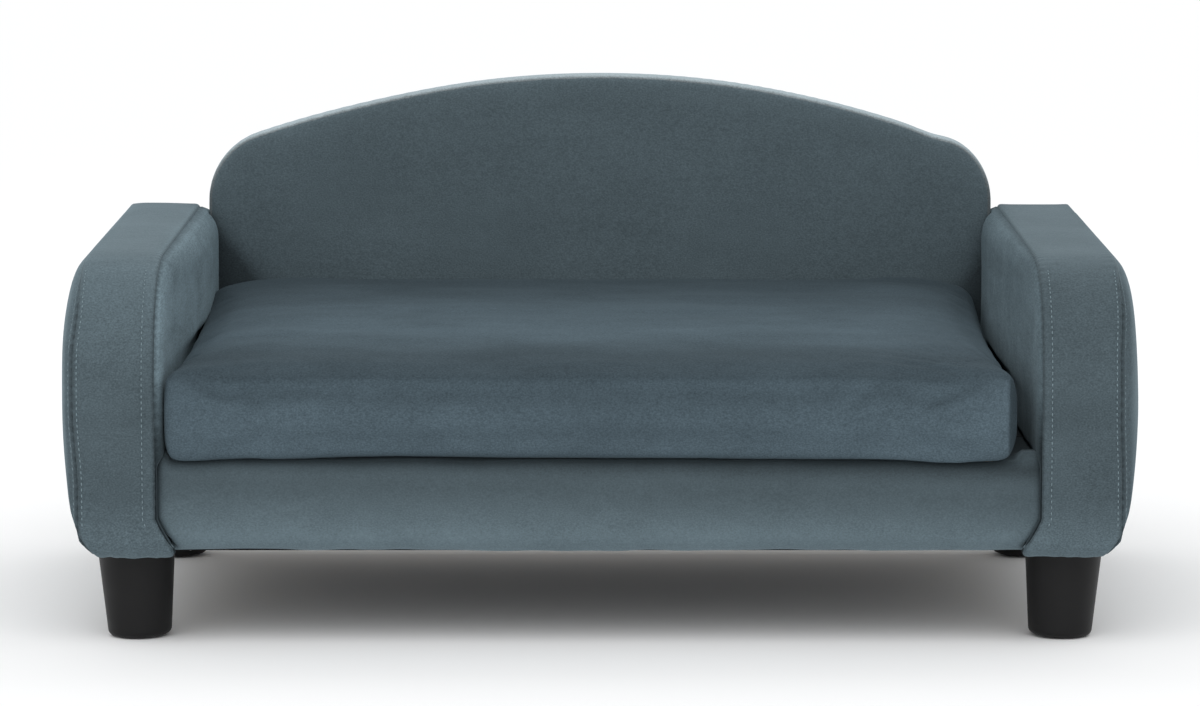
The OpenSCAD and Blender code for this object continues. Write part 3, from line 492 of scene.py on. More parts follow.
def inside_painted_light(tree, coords):
    # painted light: the left arm's inner panel lighter than the right one
    side_light = banded(tree, coords, (1, 0, 0), -0.33, 0.33, ((0.0, 1.72), (1.0, 1.13)))
    # painted shade low down beside the cushion's ends near the deck, and a little lighter halfway up
    shade_low_down = banded(tree, coords, (0, 0, 1), 0.13, 0.28, (
        (0.0, 0.15), (0.15, 0.25), (0.3, 0.6), (0.5, 1.07), (0.8, 1.04), (1.0, 0.94)))
    marked = smudged(tree, coords, 34, 0.42, stretch=(1, 0.45, 1))
    return seam_shaded(tree, maths(tree, "MULTIPLY", marked, maths(tree, "MULTIPLY", side_light, shade_low_down)))


def rim_painted_highlight(tree, coords):
    # painted highlight where the back's band faces up, along its top
    return maths(tree, "MULTIPLY_ADD", upward_share(tree), 2.85, 1.0)


def base_painted_light(tree, coords):
    # painted light towards the foot and painted shade right under the cushion, a little sooner at the right
    # than the left
    front = banded(tree, coords, (0.018, 0, 1), 0.071, 0.150, (
        (0.0, 1.7), (0.26, 1.3), (0.40, 1.09), (0.52, 0.91), (0.58, 0.85), (0.69, 0.83), (0.75, 0.72),
        (0.81, 0.54), (0.86, 0.43), (1.0, 0.8)), wave=0.05)
    # painted shade on the deck under the cushion, behind its front edge
    deck_shade = banded(tree, coords, (0, 1, 0), -0.24, -0.20, ((0.0, 1.0), (0.35, 1.0), (0.75, 0.2), (1.0, 0.2)))
    return maths(tree, "MULTIPLY", front, deck_shade)


def back_painted_shadow(tree, coords):
    # painted shadow: a dark wedge that each arm casts on the back beside it, larger on the left
    left = banded(tree, coords, (1, 0, 0.75), -0.135, -0.095, (
        (0.0, 0.38), (0.45, 0.42), (0.72, 0.85), (1.0, 1.0)))
    right = banded(tree, coords, (-1, 0, 0.75), -0.155, -0.115, (
        (0.0, 0.4), (0.45, 0.5), (0.75, 0.9), (1.0, 1.0)))
    arm_shadow_wedges = maths(tree, "SUBTRACT", maths(tree, "MULTIPLY", left, right), 1.0)
    # only on the side that faces the seat
    by_seat = maths(tree, "LESS_THAN", component(tree, coords, "Y"), 0.23)
    return maths(tree, "MULTIPLY_ADD", arm_shadow_wedges, by_seat, 1.0)


def seat_painted_light(tree, coords):
    # painted light and shade on the seat's top: dark at the front edge, lighter a third of the way back,
    # darker towards the back in its shade, and slightly darker in the middle than at the ends
    band = banded(tree, coords, (0, 1, 0), -0.25, 0.21, (
        (0.0, 0.70), (0.1, 0.64), (0.2, 0.87), (0.3, 1.06), (0.42, 0.92), (0.56, 0.84), (0.66, 0.66),
        (0.85, 0.53), (1.0, 0.57)))
    ends = banded(tree, coords, (1, 0, 0), -0.32, 0.31, (
        (0.0, 1.06), (0.25, 1.06), (0.5, 0.93), (0.85, 1.08), (1.0, 1.08)))
    # painted shade on the cushion's end beyond the upright ridge at the right front corner
    ridge_end_shade = banded(tree, coords, (1, 0, 0), 0.295, 0.312, (
        (0.0, 1.0), (0.4, 1.0), (0.52, 0.6), (1.0, 0.55)), wave=0.06)
    behind = banded(tree, coords, (0, 1, 0), -0.245, -0.2, ((0.0, 0.0), (0.3, 0.0), (1.0, 1.0)))
    ends = maths(tree, "MULTIPLY", ends, maths(tree, "MAXIMUM", ridge_end_shade, behind))
    on_top = maths(tree, "MULTIPLY", upward_share(tree), 1.5, clamp=True)
    difference = maths(tree, "SUBTRACT", band, ends)
    marked = smudged(tree, coords, 20, 0.14, stretch=(0.5, 1.4, 0.8))
    return maths(tree, "MULTIPLY", marked, maths(tree, "MULTIPLY_ADD", difference, on_top, ends))


# %% Velvets and other finishes
SLATE = (0.066, 0.0905, 0.1035)
# a darker copy of the slate, for the arms' outer panels and bands: painted shade
SHADED_SLATE = (0.057, 0.0785, 0.090)
velvet = velvet_material("slate_velvet", SHADED_SLATE, painted_light=arm_painted_light)
# a paler, greyer copy of the slate for the back's band: a painted highlight on its rim
velvet_rim_highlighted = velvet_material("slate_velvet_rim_highlighted", (0.080, 0.094, 0.100), painted_light=rim_painted_highlight)
velvet_seat = velvet_material("slate_velvet_seat", (0.0610, 0.0865, 0.1040), clouds=0.4, grain=1.15,
                              sheen=0.07, painted_light=seat_painted_light, specular=0.04)
velvet_base = velvet_material("slate_velvet_base", SLATE, clouds=0.3, grain=0.75, painted_light=base_painted_light)
velvet_back = velvet_material("slate_velvet_back", SLATE, clouds=0.28, grain=1.05, painted_light=back_painted_shadow)
# the insides of the arms are brushed lengthwise, which draws every mark out along Y
# a lighter copy of the slate: painted light on the arms' inner panels
velvet_inside = velvet_material("slate_velvet_inside", (0.078, 0.108, 0.124), clouds=0.5, flecks=0.5,
                                grain=1.1, sheen=0.12, depth=0.3 * MM, painted_light=inside_painted_light,
                                stretch=(1, 0.2, 1), specular=0.04)
thread = velvet_material("stitching_thread", (0.17, 0.225, 0.25), clouds=0.05, flecks=0.1, grain=0.6,
                         sheen=0.1, depth=0.1 * MM)
black_plastic = hard_material("black_leg_plastic", (0.006, 0.006, 0.0063), (0.02, 0.02, 0.02), 0.5,
                              dust=0.015, depth=0.06 * MM, specular=0.22)
zinc = hard_material("zinc_steel", (0.55, 0.56, 0.58), (0.8, 0.8, 0.8), 0.35, metallic=1.0)
black_cloth = velvet_material("black_nonwoven", (0.012, 0.012, 0.013), clouds=0.3, flecks=0.9,
                              grain=0.8, sheen=0.15, depth=0.4 * MM)
felt = velvet_material("grey_felt", (0.10, 0.09, 0.08), flecks=0.8, grain=0.9, sheen=0.3)
zip_tape_cloth = velvet_material("zip_tape_cloth", (0.055, 0.082, 0.10), clouds=0.1, flecks=0.5,
                                 sheen=0.1)
zip_nylon = hard_material("zip_nylon", (0.03, 0.045, 0.055), (0.1, 0.12, 0.13), 0.3, depth=0.02 * MM)
block_foam = velvet_material("block_foam", (0.72, 0.66, 0.48), clouds=0.2, flecks=0.5, grain=0.8,
                             sheen=0.0, depth=0.6 * MM)
print("materials:", [made.name for made in bpy.data.materials])

# %% [markdown]
# Pine, plywood and hardboard are never seen on a whole sofa, but they are real pieces of the
# frame, so they get a grain of their own: long stretched noise, bent by a slower one.

# %% Wood


def wood_material(name, light, dark, stretch, roughness=0.6):
    """Wood with its grain drawn out along the axis that stretch makes smallest."""
    made, tree, shader, coords = new_material(name)
    rings = noise(tree, coords, 30, detail=5, rough=0.6, stretch=stretch, distortion=1.2)
    sharper = maths(tree, "MULTIPLY", maths(tree, "SUBTRACT", rings, 0.42), 4.0, clamp=True)
    tree.links.new(mixed(tree, sharper, (*light, 1), (*dark, 1)), shader.inputs["Base Color"])
    shader.inputs["Roughness"].default_value = roughness
    bumped(tree, shader, rings, 0.15 * MM)
    return made


pine = wood_material("pine", (0.72, 0.52, 0.28), (0.52, 0.32, 0.14), stretch=(0.15, 1.0, 1.0))
plywood = wood_material("plywood", (0.66, 0.46, 0.26), (0.50, 0.32, 0.16), stretch=(0.3, 0.3, 1.0))
hardboard = wood_material("hardboard", (0.20, 0.11, 0.055), (0.13, 0.07, 0.035),
                          stretch=(1.0, 1.0, 1.0), roughness=0.5)

finishes = {
    "pine": pine, "plywood": plywood, "hardboard": hardboard, "foam": block_foam,
    "zinc_steel": zinc, "black_plastic": black_plastic, "felt": felt, "zip_cloth": zip_tape_cloth,
}
slot_of = {part["node"]: part["material_slot"] for part in frame["record"]["subparts"]}
for node, piece in frame["nodes"].items():
    finish = finishes.get(slot_of[node])
    if finish is not None:
        piece.data.materials.clear()
        piece.data.materials.append(finish)
print("finished CAD nodes:", sum(slot_of[node] in finishes for node in frame["nodes"]))

# %% [markdown]
# An arm is two panels sewn to a band, and all three follow one side profile: flat on top, rolled
# over at the front and square at the rear. The profile is drawn from the same radii as the CAD
# source, and a soft panel is then a sheet that swells away from its seam. To get clean, even
# quads on such an outline, its four sides are blended into a grid, which is called a Coons patch.

# %% Profiles of arm and back
band_low, band_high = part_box("right_arm_band")
back_low, back_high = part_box("back_band")
SEAM = 1.5 * MM
SEAM_IN = band_low[0] - 2.5 * MM
SEAM_OUT = band_high[0] + 1.0 * MM
FRONT, REAR = band_low[1], band_high[1]
FOOT, TOP = band_low[2], band_high[2]
NOSE, TAIL, TOE, HEEL = 85 * MM, 20 * MM, 15 * MM, 10 * MM
ARCH, SHOULDER, BACK_FOOT = 845 * MM, 58 * MM, 8 * MM
SIDES = {-1: "left", 1: "right"}


def corner_radius(r, inset):
    """Radius of a rounded corner once its outline is drawn in by an inset."""
    return max(r - inset, 0.6 * inset)


def arm_profile(inset=0.0):
    """Closed side profile of an arm, as [y, z], from the heel's middle round by tail, nose, toe."""
    y0, y1 = FRONT + inset, REAR - inset
    z0, z1 = FOOT + inset, TOP - inset
    heel, tail, nose, toe = (corner_radius(r, inset) for r in (HEEL, TAIL, NOSE, TOE))
    line = np.concatenate([
        arc(y1 - heel, z0 + heel, heel, -45, 0, 8),
        arc(y1 - tail, z1 - tail, tail, 0, 90, 16),
        arc(y0 + nose, z1 - nose, nose, 90, 180, 50),
        arc(y0 + toe, z0 + toe, toe, 180, 270, 14),
        arc(y1 - heel, z0 + heel, heel, -90, -45, 8),
    ])
    return eased_nose(line, y0, z1)


def eased_nose(line, front, top):
    """The line with its nose blended into the flat top and the upright front, as wadding does."""
    step, spread = 1.5 * MM, 20 * MM
    ring = closed_ring(line)
    ring = evenly(ring, int(length_along(ring)[-1] / step))
    offsets = np.arange(-40, 41)
    weights = np.exp(-0.5 * (offsets * step / spread) ** 2)
    blurred = sum(w * np.roll(ring, k, axis=0) for k, w in zip(offsets, weights)) / weights.sum()
    share = smooth_step((front + 190 * MM - ring[:, 0]) / (50 * MM)) \
        * smooth_step((ring[:, 1] - top + 150 * MM) / (40 * MM))
    return ring + (blurred - ring) * share[:, None]


def back_profile(inset=0.0):
    """Closed front outline of the back, as [x, z], from the right foot round over the arch."""
    half = back_high[0]
    centre_z = back_high[2] - ARCH
    side_x = half - SHOULDER
    side_z = centre_z + math.sqrt((ARCH - SHOULDER) ** 2 - side_x ** 2)
    turn = math.degrees(math.atan2(side_z - centre_z, side_x))
    foot = corner_radius(BACK_FOOT, inset)
    fx, fz = half - inset - foot, back_low[2] + inset + foot
    line = np.concatenate([
        arc(fx, fz, foot, -45, 0, 6),
        arc(side_x, side_z, SHOULDER - inset, 0, turn, 26),
        arc(0, centre_z, ARCH - inset, turn, 180 - turn, 120)[1:-1],
        arc(-side_x, side_z, SHOULDER - inset, 180 - turn, 180, 26),
        arc(-fx, fz, foot, 180, 270, 12),
        arc(fx, fz, foot, -90, -45, 6),
    ])
    # the wadding is pulled a little thinner over the flanks of the arch, most of all at the right
    x, z = line.T
    thinner = 1.6 * MM * np.exp(-((np.abs(x) - 0.19) / 0.08) ** 2)
    thinner += 1.8 * MM * np.exp(-((x - 0.255) / 0.05) ** 2)
    thinner += 2.2 * MM * np.exp(-((x - 0.273) / 0.018) ** 2)
    line[:, 1] -= thinner * smooth_step((z - 0.2) / 0.08)
    return line


profile = arm_profile()
print("arm profile", round(length_along(profile)[-1], 3), "m round; back",
      round(length_along(back_profile())[-1], 3), "m")

# %% Grids inside an outline


def grid_on(profile, corners, nu, nv):
    """Grid of points inside a closed profile. corners are four indices in its order, from
    the first side's start; the first side runs along u, the second along v."""
    closed = closed_ring(profile)
    s = length_along(closed)

    def side(a, b, values):
        start, end = s[a], s[b]
        if end <= start:
            end += s[-1]
        return resample(closed, np.mod(start + (end - start) * values, s[-1]))

    u, v = crowded(nu), crowded(nv)
    a, b, c, d = corners
    low, right = side(a, b, u), side(b, c, v)
    high, left = side(c, d, u)[::-1], side(d, a, v)[::-1]
    uu, vv = u[:, None, None], v[None, :, None]
    sheet = (1 - vv) * low[:, None] + vv * high[:, None] + (1 - uu) * left[None] + uu * right[None]
    sheet -= ((1 - uu) * (1 - vv) * low[0] + uu * (1 - vv) * low[-1]
              + (1 - uu) * vv * high[0] + uu * vv * high[-1])
    return sheet


def nearest_on(profile, points):
    """Distance of each point to a closed profile, and the length along it of the nearest place."""
    ring = closed_ring(profile)
    closed = resample(ring, np.linspace(0, length_along(ring)[-1], 1600))
    flat = points.reshape(-1, 2)
    distance = np.empty(len(flat))
    where = np.empty(len(flat))
    s = length_along(closed)
    for start in range(0, len(flat), 4000):
        part = flat[start:start + 4000]
        gap = np.linalg.norm(part[:, None] - closed[None], axis=2)
        index = gap.argmin(axis=1)
        distance[start:start + 4000] = gap[np.arange(len(part)), index]
        where[start:start + 4000] = s[index]
    return distance.reshape(points.shape[:-1]), where.reshape(points.shape[:-1])


def grid_faces(nu, nv):
    """The quads of a grid of nu by nv steps."""
    i = (np.arange(nu)[:, None] * (nv + 1) + np.arange(nv)[None]).ravel()
    return np.stack([i, i + nv + 1, i + nv + 2, i + 1], axis=1).tolist()


def rim_of_grid(nu, nv):
    """Vertex numbers round the edge of a grid, once."""
    low = [i * (nv + 1) for i in range(nu)]
    right = [nu * (nv + 1) + j for j in range(nv)]
    high = [(nu - i) * (nv + 1) + nv for i in range(nu)]
    left = [nv - j for j in range(nv)]
    return low + right + high + left


def puffed_piece(name, grid, placed, backed, shade=None):
    """Closed piece from a grid of profile points: placed are its 3-D points, and backed is the
    3-D shift from its rim to the flat back that closes it."""
    nu, nv = grid.shape[0] - 1, grid.shape[1] - 1
    verts = placed.reshape(-1, 3)
    faces = grid_faces(nu, nv)
    rim = rim_of_grid(nu, nv)
    first = len(verts)
    behind = verts[rim] + backed
    middle = behind.mean(axis=0)
    count = len(rim)
    for k in range(count):
        j = (k + 1) % count
        faces.append([rim[k], rim[j], first + j, first + k])
        faces.append([first + k, first + j, first + count])
    flat = grid.reshape(-1, 2)
    uvs = np.concatenate([flat, flat[rim], flat[rim].mean(axis=0)[None]])
    if shade is not None:
        shade = np.concatenate([shade.ravel(), shade.ravel()[rim], [0]])
    return outward(link_mesh(name, np.concatenate([verts, behind, middle[None]]), faces, uvs, shade))


ARM_GRID, BACK_GRID = (200, 110), (230, 120)
print("grids:", ARM_GRID, "for an arm and", BACK_GRID, "for the back")

# %% [markdown]
# A panel's swell is steepest at the seam and levels off over a hand's width, the way a wadded
# cloth pulls out of its stitching: a quarter of an ellipse. Right at the seam the cloth turns
# under, which leaves a narrow groove. On the outside a topstitch holds the first few
# millimetres flat, so the swell begins beyond it. Near the floor the outer seam is drawn in, and
# at the lower inner corner the arm's cloth is pulled round under the seat base.

# %% How cloth swells away from a seam
GROOVE, GROOVE_WIDTH = 1.2 * MM, 1.2 * MM
STITCH_DIP, STITCH_DIP_WIDTH = 0.6 * MM, 1.3 * MM
SEAM_DEPTH, BACK_SEAM_DEPTH = 2.0 * MM, 2.0 * MM
TUCK_HEIGHT, TUCK_IN = 20 * MM, 12 * MM
# the seams of a hand-sewn pair differ a little between its left (-1) and right (1) arm
BOW = {-1: 3.2 * MM, 1: -1.6 * MM}
OUTER_CROWN = {-1: 401.4 * MM, 1: 402.6 * MM}
BAND_CROWN = {-1: 1.2 * MM, 1: 0.3 * MM}
INNER_SEAM = {-1: SEAM_IN, 1: SEAM_IN - 2.3 * MM}
INNER_TOPSTITCH = {-1: 9.2 * MM, 1: 7.0 * MM}
# the outer silhouette near the foot, as heights and the widest X there
LOW_Z = (67.0, 71.5, 75.9, 80.3, 84.7, 89.1, 93.4, 97.8, 102.0, 111.0, 130.0, 160.0, 200.0)
LOW_X = (375.2, 378.2, 382.2, 386.2, 387.0, 388.0, 389.8, 391.4, 392.8, 394.8, 398.0, 403.0, 412.0)
FLAP_IN, FLAP_TOP = 13 * MM, 97 * MM


def quarter(distance, reach):
    """0 to 1 along a quarter of an ellipse, upright at distance 0 and level from the reach on."""
    return np.sqrt(1 - (1 - np.clip(distance / reach, 0, 1)) ** 2)


def groove(distance):
    """Depth of the narrow groove right at a seam."""
    return -GROOVE * np.exp(-(distance / GROOVE_WIDTH) ** 1.4)


def easing(distance, along, seed, wavelength=11 * MM, depth=0.25 * MM, fade=7 * MM):
    """Small puckers that run into a seam and fade away from it."""
    draw = np.random.default_rng(seed)
    phase = 3.6 * np.sin(along / (37 * MM) + draw.uniform(0, 6)) + 2.4 * np.sin(along / (83 * MM))
    strength = 0.5 + 0.5 * np.sin(along / (61 * MM) + draw.uniform(0, 6))
    wave = np.sin(2 * np.pi * along / wavelength + phase)
    return depth * strength * wave * np.exp(-distance / fade) * np.clip(distance / (1.5 * MM), 0, 1)


def painted_seam_shade(distance, along):
    """Share of painted shade beside a seam, as in its groove, with a darker spot at each stitch of it."""
    spots = 0.75 + 0.25 * np.sin(2 * np.pi * along / (7 * MM) + 2.6 * np.sin(along / (13 * MM)))
    return np.exp(-(distance / (1.25 * MM)) ** 2) * spots


def tuck(z):
    """How far the outer seam is drawn in near the foot of an arm."""
    return TUCK_IN * np.clip((FOOT + TUCK_HEIGHT - z) / TUCK_HEIGHT, 0, 1) ** 1.35


def outer_seam(side, z):
    """X of an arm's outer seam: drawn in near the foot and bowed a little at mid height."""
    bowed = smooth_step((z - 120 * MM) / (60 * MM)) * (1 - smooth_step((z - 215 * MM) / (40 * MM)))
    return SEAM_OUT - tuck(z) + BOW[side] * bowed


def flap(y, z):
    """How far the cloth of the lower inner corner is pulled round under the seat base."""
    in_front = smooth_step((FRONT + 24 * MM - y) / (11 * MM))
    return FLAP_IN * np.clip((FLAP_TOP - z) / (FLAP_TOP - FOOT - 6 * MM), 0, 1) ** 1.15 * in_front


def topstitch_dip(distance, line):
    """How far a row of topstitching pulls the cloth down beside its line."""
    return -STITCH_DIP * np.exp(-((distance - line) / STITCH_DIP_WIDTH) ** 2)


def closest_index(profile, point):
    """Number of the profile's point that lies closest to a given one."""
    return int(np.argmin(np.linalg.norm(profile - np.array(point), axis=1)))


def arm_corners(profile):
    """The four corners of an arm's grid: toe, heel, tail and nose."""
    # how far the middle of a quarter circle lies inside its corner, as a share of the radius
    cut = 1 - math.sqrt(0.5)
    nose_mid = (FRONT + NOSE * cut, TOP - NOSE * cut)
    tail_mid = (REAR - TAIL * cut, TOP - TAIL * cut)
    toe_mid = (FRONT + TOE * cut, FOOT + TOE * cut)
    return [closest_index(profile, toe_mid), 0, closest_index(profile, tail_mid),
            closest_index(profile, nose_mid)]


# %% Outer and inner panels of the arms
base_low, base_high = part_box("base_cover")
deck_low, deck_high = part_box("deck_lining")
SEAT = deck_high[2]
BASE_END = base_high[0]
BACK_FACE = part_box("back_front_panel")[0][1]
BACK_HALF = back_high[0]
CUSHION_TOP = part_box("cushion_cover")[1][2]
OUTER_STITCH, OUTER_EDGE = 3.2 * MM, 4.0 * MM
# where the inner panels lie against the cushion, and where they end above it
PRESSED_X, FREE_X = 323.7 * MM, 312.6 * MM
# the left panel leans on the cushion's shoulder; the right one is free down to the cushion's middle
FREE_FROM = {-1: CUSHION_TOP - 35 * MM, 1: CUSHION_TOP - 60 * MM}

side_profile = arm_profile(SEAM_DEPTH)
side_grid = grid_on(side_profile, arm_corners(side_profile), *ARM_GRID)
rim_gap, rim_place = nearest_on(side_profile, side_grid)
Y, Z = side_grid[..., 0], side_grid[..., 1]
panel_shade = painted_seam_shade(rim_gap, rim_place)


def outer_height(side, distance, y, z):
    """Height of the outer panel over its seam: a flat stitched edge, higher in front, and a swell."""
    edge = 1.8 * MM + (OUTER_EDGE - 1.8 * MM) * smooth_step((FRONT + 60 * MM - y) / (40 * MM))
    seam = np.maximum(outer_seam(side, z), SEAM_OUT + np.minimum(BOW[side], 0))
    swell = OUTER_CROWN[side] - edge - seam
    rise = edge * quarter(distance, 2.8 * MM) + swell * quarter(distance - OUTER_STITCH, 60 * MM)
    return groove(distance) + rise


def held_in(side, height, z):
    """A panel's height, held back near the foot so that the silhouette rounds off there."""
    room = np.interp(z, np.array(LOW_Z) * MM, np.array(LOW_X) * MM) - outer_seam(side, z)
    return np.where(height > 0, height / (1 + (np.maximum(height, 0) / room) ** 8) ** 0.125, height)


def outer_panel(side, seed):
    """The panel on an arm's outer side."""
    # near the foot the seam is pulled tight, so its groove is shallower there
    tight = smooth_step((FOOT + 30 * MM - Z) / (14 * MM))
    height = outer_height(side, rim_gap, Y, Z) - groove(rim_gap) * tight
    height += easing(rim_gap, rim_place, seed)
    height += topstitch_dip(rim_gap, OUTER_STITCH)
    height += 0.7 * MM * ripple(side_grid, 190 * MM, seed + 1) * smooth_step(rim_gap / (50 * MM))
    height += 0.3 * MM * ripple(side_grid, 12 * MM, seed + 2) * np.exp(-(Z - FOOT) / (14 * MM)) \
        * smooth_step(rim_gap / (8 * MM))
    x = side * (outer_seam(side, Z) + held_in(side, height, Z))
    placed = np.stack([x, Y, Z], axis=-1)
    name = SIDES[side] + "_arm_outer_velvet"
    return puffed_piece(name, side_grid, placed, np.array([-side * 1.5 * MM, 0, 0]), panel_shade)


def inner_panel(side, seed):
    """The panel on the side of an arm that faces the cushion."""
    # above the cushion the panel is free and fuller, most of all towards the back, where the
    # cushion's round corner leaves it free lower down as well
    free_from = FREE_FROM[side] - 36 * MM * smooth_step((Y - 0.13) / 0.05)
    free = smooth_step((Z - free_from) / (15 * MM)) * smooth_step((Y + 0.24) / 0.36)
    pressed_x = PRESSED_X - 2.0 * MM * smooth_step((Y + 0.21) / 0.1)
    crown = INNER_SEAM[side] - pressed_x - (FREE_X - pressed_x) * free
    height = groove(rim_gap) + crown * quarter(rim_gap, 15 * MM + 7 * MM * free)
    height += easing(rim_gap, rim_place, seed, wavelength=9 * MM, depth=0.5 * MM, fade=7 * MM)
    height += 0.28 * MM * ripple(side_grid, 75 * MM, seed + 1) * smooth_step(rim_gap / (30 * MM))
    height += 0.10 * MM * ripple(side_grid, 24 * MM, seed + 3) * smooth_step(rim_gap / (20 * MM))
    # the base and the back press the cloth flat where they meet it
    in_base = smooth_step((SEAT + 5 * MM - Z) / (10 * MM)) * smooth_step((BACK_FACE + 6 * MM - Y) / (6 * MM))
    in_back = smooth_step((Y - BACK_FACE + 5 * MM) / (5 * MM))
    behind_base = smooth_step((Y - base_low[1] + 1 * MM) / (6 * MM))
    flat_base = 1.2 * MM + (INNER_SEAM[side] - BASE_END - 1.5 * MM) * behind_base
    flat_back = INNER_SEAM[side] - BACK_HALF - 0.6 * MM
    height = height * (1 - in_base) + np.minimum(height, flat_base) * in_base
    height = height * (1 - in_back) + np.minimum(height, flat_back) * in_back
    x = side * (INNER_SEAM[side] - height - flap(Y, Z))
    placed = np.stack([x, Y, Z], axis=-1)
    name = SIDES[side] + "_arm_inner_velvet"
    return puffed_piece(name, side_grid, placed, np.array([side * 1.5 * MM, 0, 0]), panel_shade)


arm_pieces = {}
for side, word in SIDES.items():
    arm_pieces[word] = [outer_panel(side, 11 + side), inner_panel(side, 31 + side)]
print("panel quads:", len(arm_pieces["left"][0].data.polygons))

# %% [markdown]
# The band is a long strip round the profile. It is built as a closed tube: across it run the two
# rolled edges with a low crown between them, and along it the path of the profile. The
# topstitching presses a shallow channel into the wadding on each side, so the same function gives
# the surface and the line that the stitches lie on.

# %% Bands of the arms
OUTER_TOPSTITCH = 3.0 * MM
PATH_STEPS = 620


def closed_path(outline, steps):
    """Even steps round a closed outline: lengths, points, and directions that face outwards."""
    line = closed_ring(outline)
    points = evenly(line, steps)
    along = np.roll(points, -1, axis=0) - np.roll(points, 1, axis=0)
    along /= np.linalg.norm(along, axis=1)[:, None]
    lengths = np.linspace(0, length_along(line)[-1], steps, endpoint=False)
    return lengths, points, np.stack([along[:, 1], -along[:, 0]], axis=1)


path_s, path, path_out = closed_path(profile, PATH_STEPS)
# at the tight corners the directions are averaged over three steps
path_out = (np.roll(path_out, 1, axis=0) + path_out + np.roll(path_out, -1, axis=0)) / 3


def stitched(y, z):
    """1 on the front and the nose of an arm, where the topstitching runs, and 0 elsewhere."""
    return smooth_step((FRONT + 70 * MM - y) / (30 * MM)) * smooth_step((z - FOOT - 20 * MM) / (12 * MM))


def band_height(side, inner_gap, outer_gap, s, where):
    """Height of the band's cloth over its profile, at distances from its two seams."""
    seed = 51 + side
    nearest = np.minimum(inner_gap, outer_gap)
    height = 2.2 * MM * (quarter(inner_gap, 4 * MM) - 1) + 2.2 * MM * (quarter(outer_gap, 3 * MM) - 1)
    height += BAND_CROWN[side] * (1 - np.exp(-nearest / (9 * MM)))
    dips = topstitch_dip(inner_gap, INNER_TOPSTITCH[side]) + topstitch_dip(outer_gap, OUTER_TOPSTITCH)
    height += dips * stitched(where[..., 1], where[..., 2])
    height += easing(inner_gap, s, seed, wavelength=8.5 * MM, depth=0.5 * MM, fade=6 * MM)
    height += easing(outer_gap, s, seed + 5, depth=0.3 * MM)
    height += 0.5 * MM * ripple(where, 120 * MM, seed + 1) * smooth_step(nearest / (12 * MM))
    low = np.exp(-(where[..., 2] - FOOT) / (10 * MM))
    height += 0.45 * MM * ripple(where, 10 * MM, seed + 2) * low * smooth_step(nearest / (5 * MM))
    return height


def band_edges(side):
    """X of the band's inner seam, and its width, at each step of the path."""
    inner = INNER_SEAM[side] - flap(path[:, 0], path[:, 1])
    return inner, outer_seam(side, path[:, 1]) - inner


def band_surface(side, across):
    """Points of the band for each step of the path and each share across it."""
    inner, width = band_edges(side)
    inner_gap = width[:, None] * across[None]
    outer_gap = width[:, None] - inner_gap
    x = inner[:, None] + inner_gap
    where = np.stack(np.broadcast_arrays(x * side, path[:, :1], path[:, 1:]), axis=-1)
    height = band_height(side, inner_gap, outer_gap, path_s[:, None], where)
    where[..., 1:] += height[..., None] * path_out[:, None]
    return where


def closed_strip(name, top, under, s_values, looped=True, shade=None):
    """Closed piece from an outer grid and an inner grid, [step, across], joined at both edges."""
    if shade is not None:
        shade = np.concatenate([shade, np.zeros(under.shape[:2])], axis=1).ravel()
    rings = np.concatenate([top, under[:, ::-1]], axis=1)
    steps, count = rings.shape[:2]
    verts = rings.reshape(-1, 3)
    faces = []
    for i in range(steps if looped else steps - 1):
        a, b = i * count, ((i + 1) % steps) * count
        for j in range(count):
            k = (j + 1) % count
            faces.append([a + j, a + k, b + k, b + j])
    if not looped:
        faces.append(list(range(count)))
        faces.append([(steps - 1) * count + j for j in range(count)][::-1])
    across_length = np.concatenate([[0], np.cumsum(np.linalg.norm(np.diff(rings[0], axis=0), axis=1))])
    uvs = np.stack(np.broadcast_arrays(np.asarray(s_values)[:, None], across_length[None]), axis=-1)
    return outward(link_mesh(name, verts, faces, uvs.reshape(-1, 2), shade))


def marked_across(width, marks):
    """Shares across a strip, closer together at the edges and at the marks."""
    values = set(np.round(crowded(30, 0.75), 5))
    for mark in marks:
        for step in (-3, -2, -1, -0.5, 0, 0.5, 1, 2, 3):
            values.add(round((mark + step * MM) / width, 5))
    return np.array(sorted(v for v in values if 0 <= v <= 1))


def arm_band(side):
    """The band round an arm's profile, between its two panels."""
    width = SEAM_OUT - INNER_SEAM[side]
    across = marked_across(width, (INNER_TOPSTITCH[side], width - OUTER_TOPSTITCH))
    top = band_surface(side, across)
    under = band_surface(side, np.linspace(0, 1, 7))
    inward = path_out[:, None] * (3 * MM)
    under[..., 1:] -= inward
    seam_gap = np.minimum(across, 1 - across)[None] * width
    name = SIDES[side] + "_arm_band_velvet"
    return closed_strip(name, top, under, path_s, shade=painted_seam_shade(seam_gap, path_s[:, None]))


for side, word in SIDES.items():
    arm_pieces[word].append(arm_band(side))
print("band quads:", len(arm_pieces["left"][2].data.polygons))

# %% [markdown]
# The arched back is made in the same way as an arm, only thinner and tauter: a front panel with a
# slight swell, a rear panel, and a band that goes over the arch and down both sides.

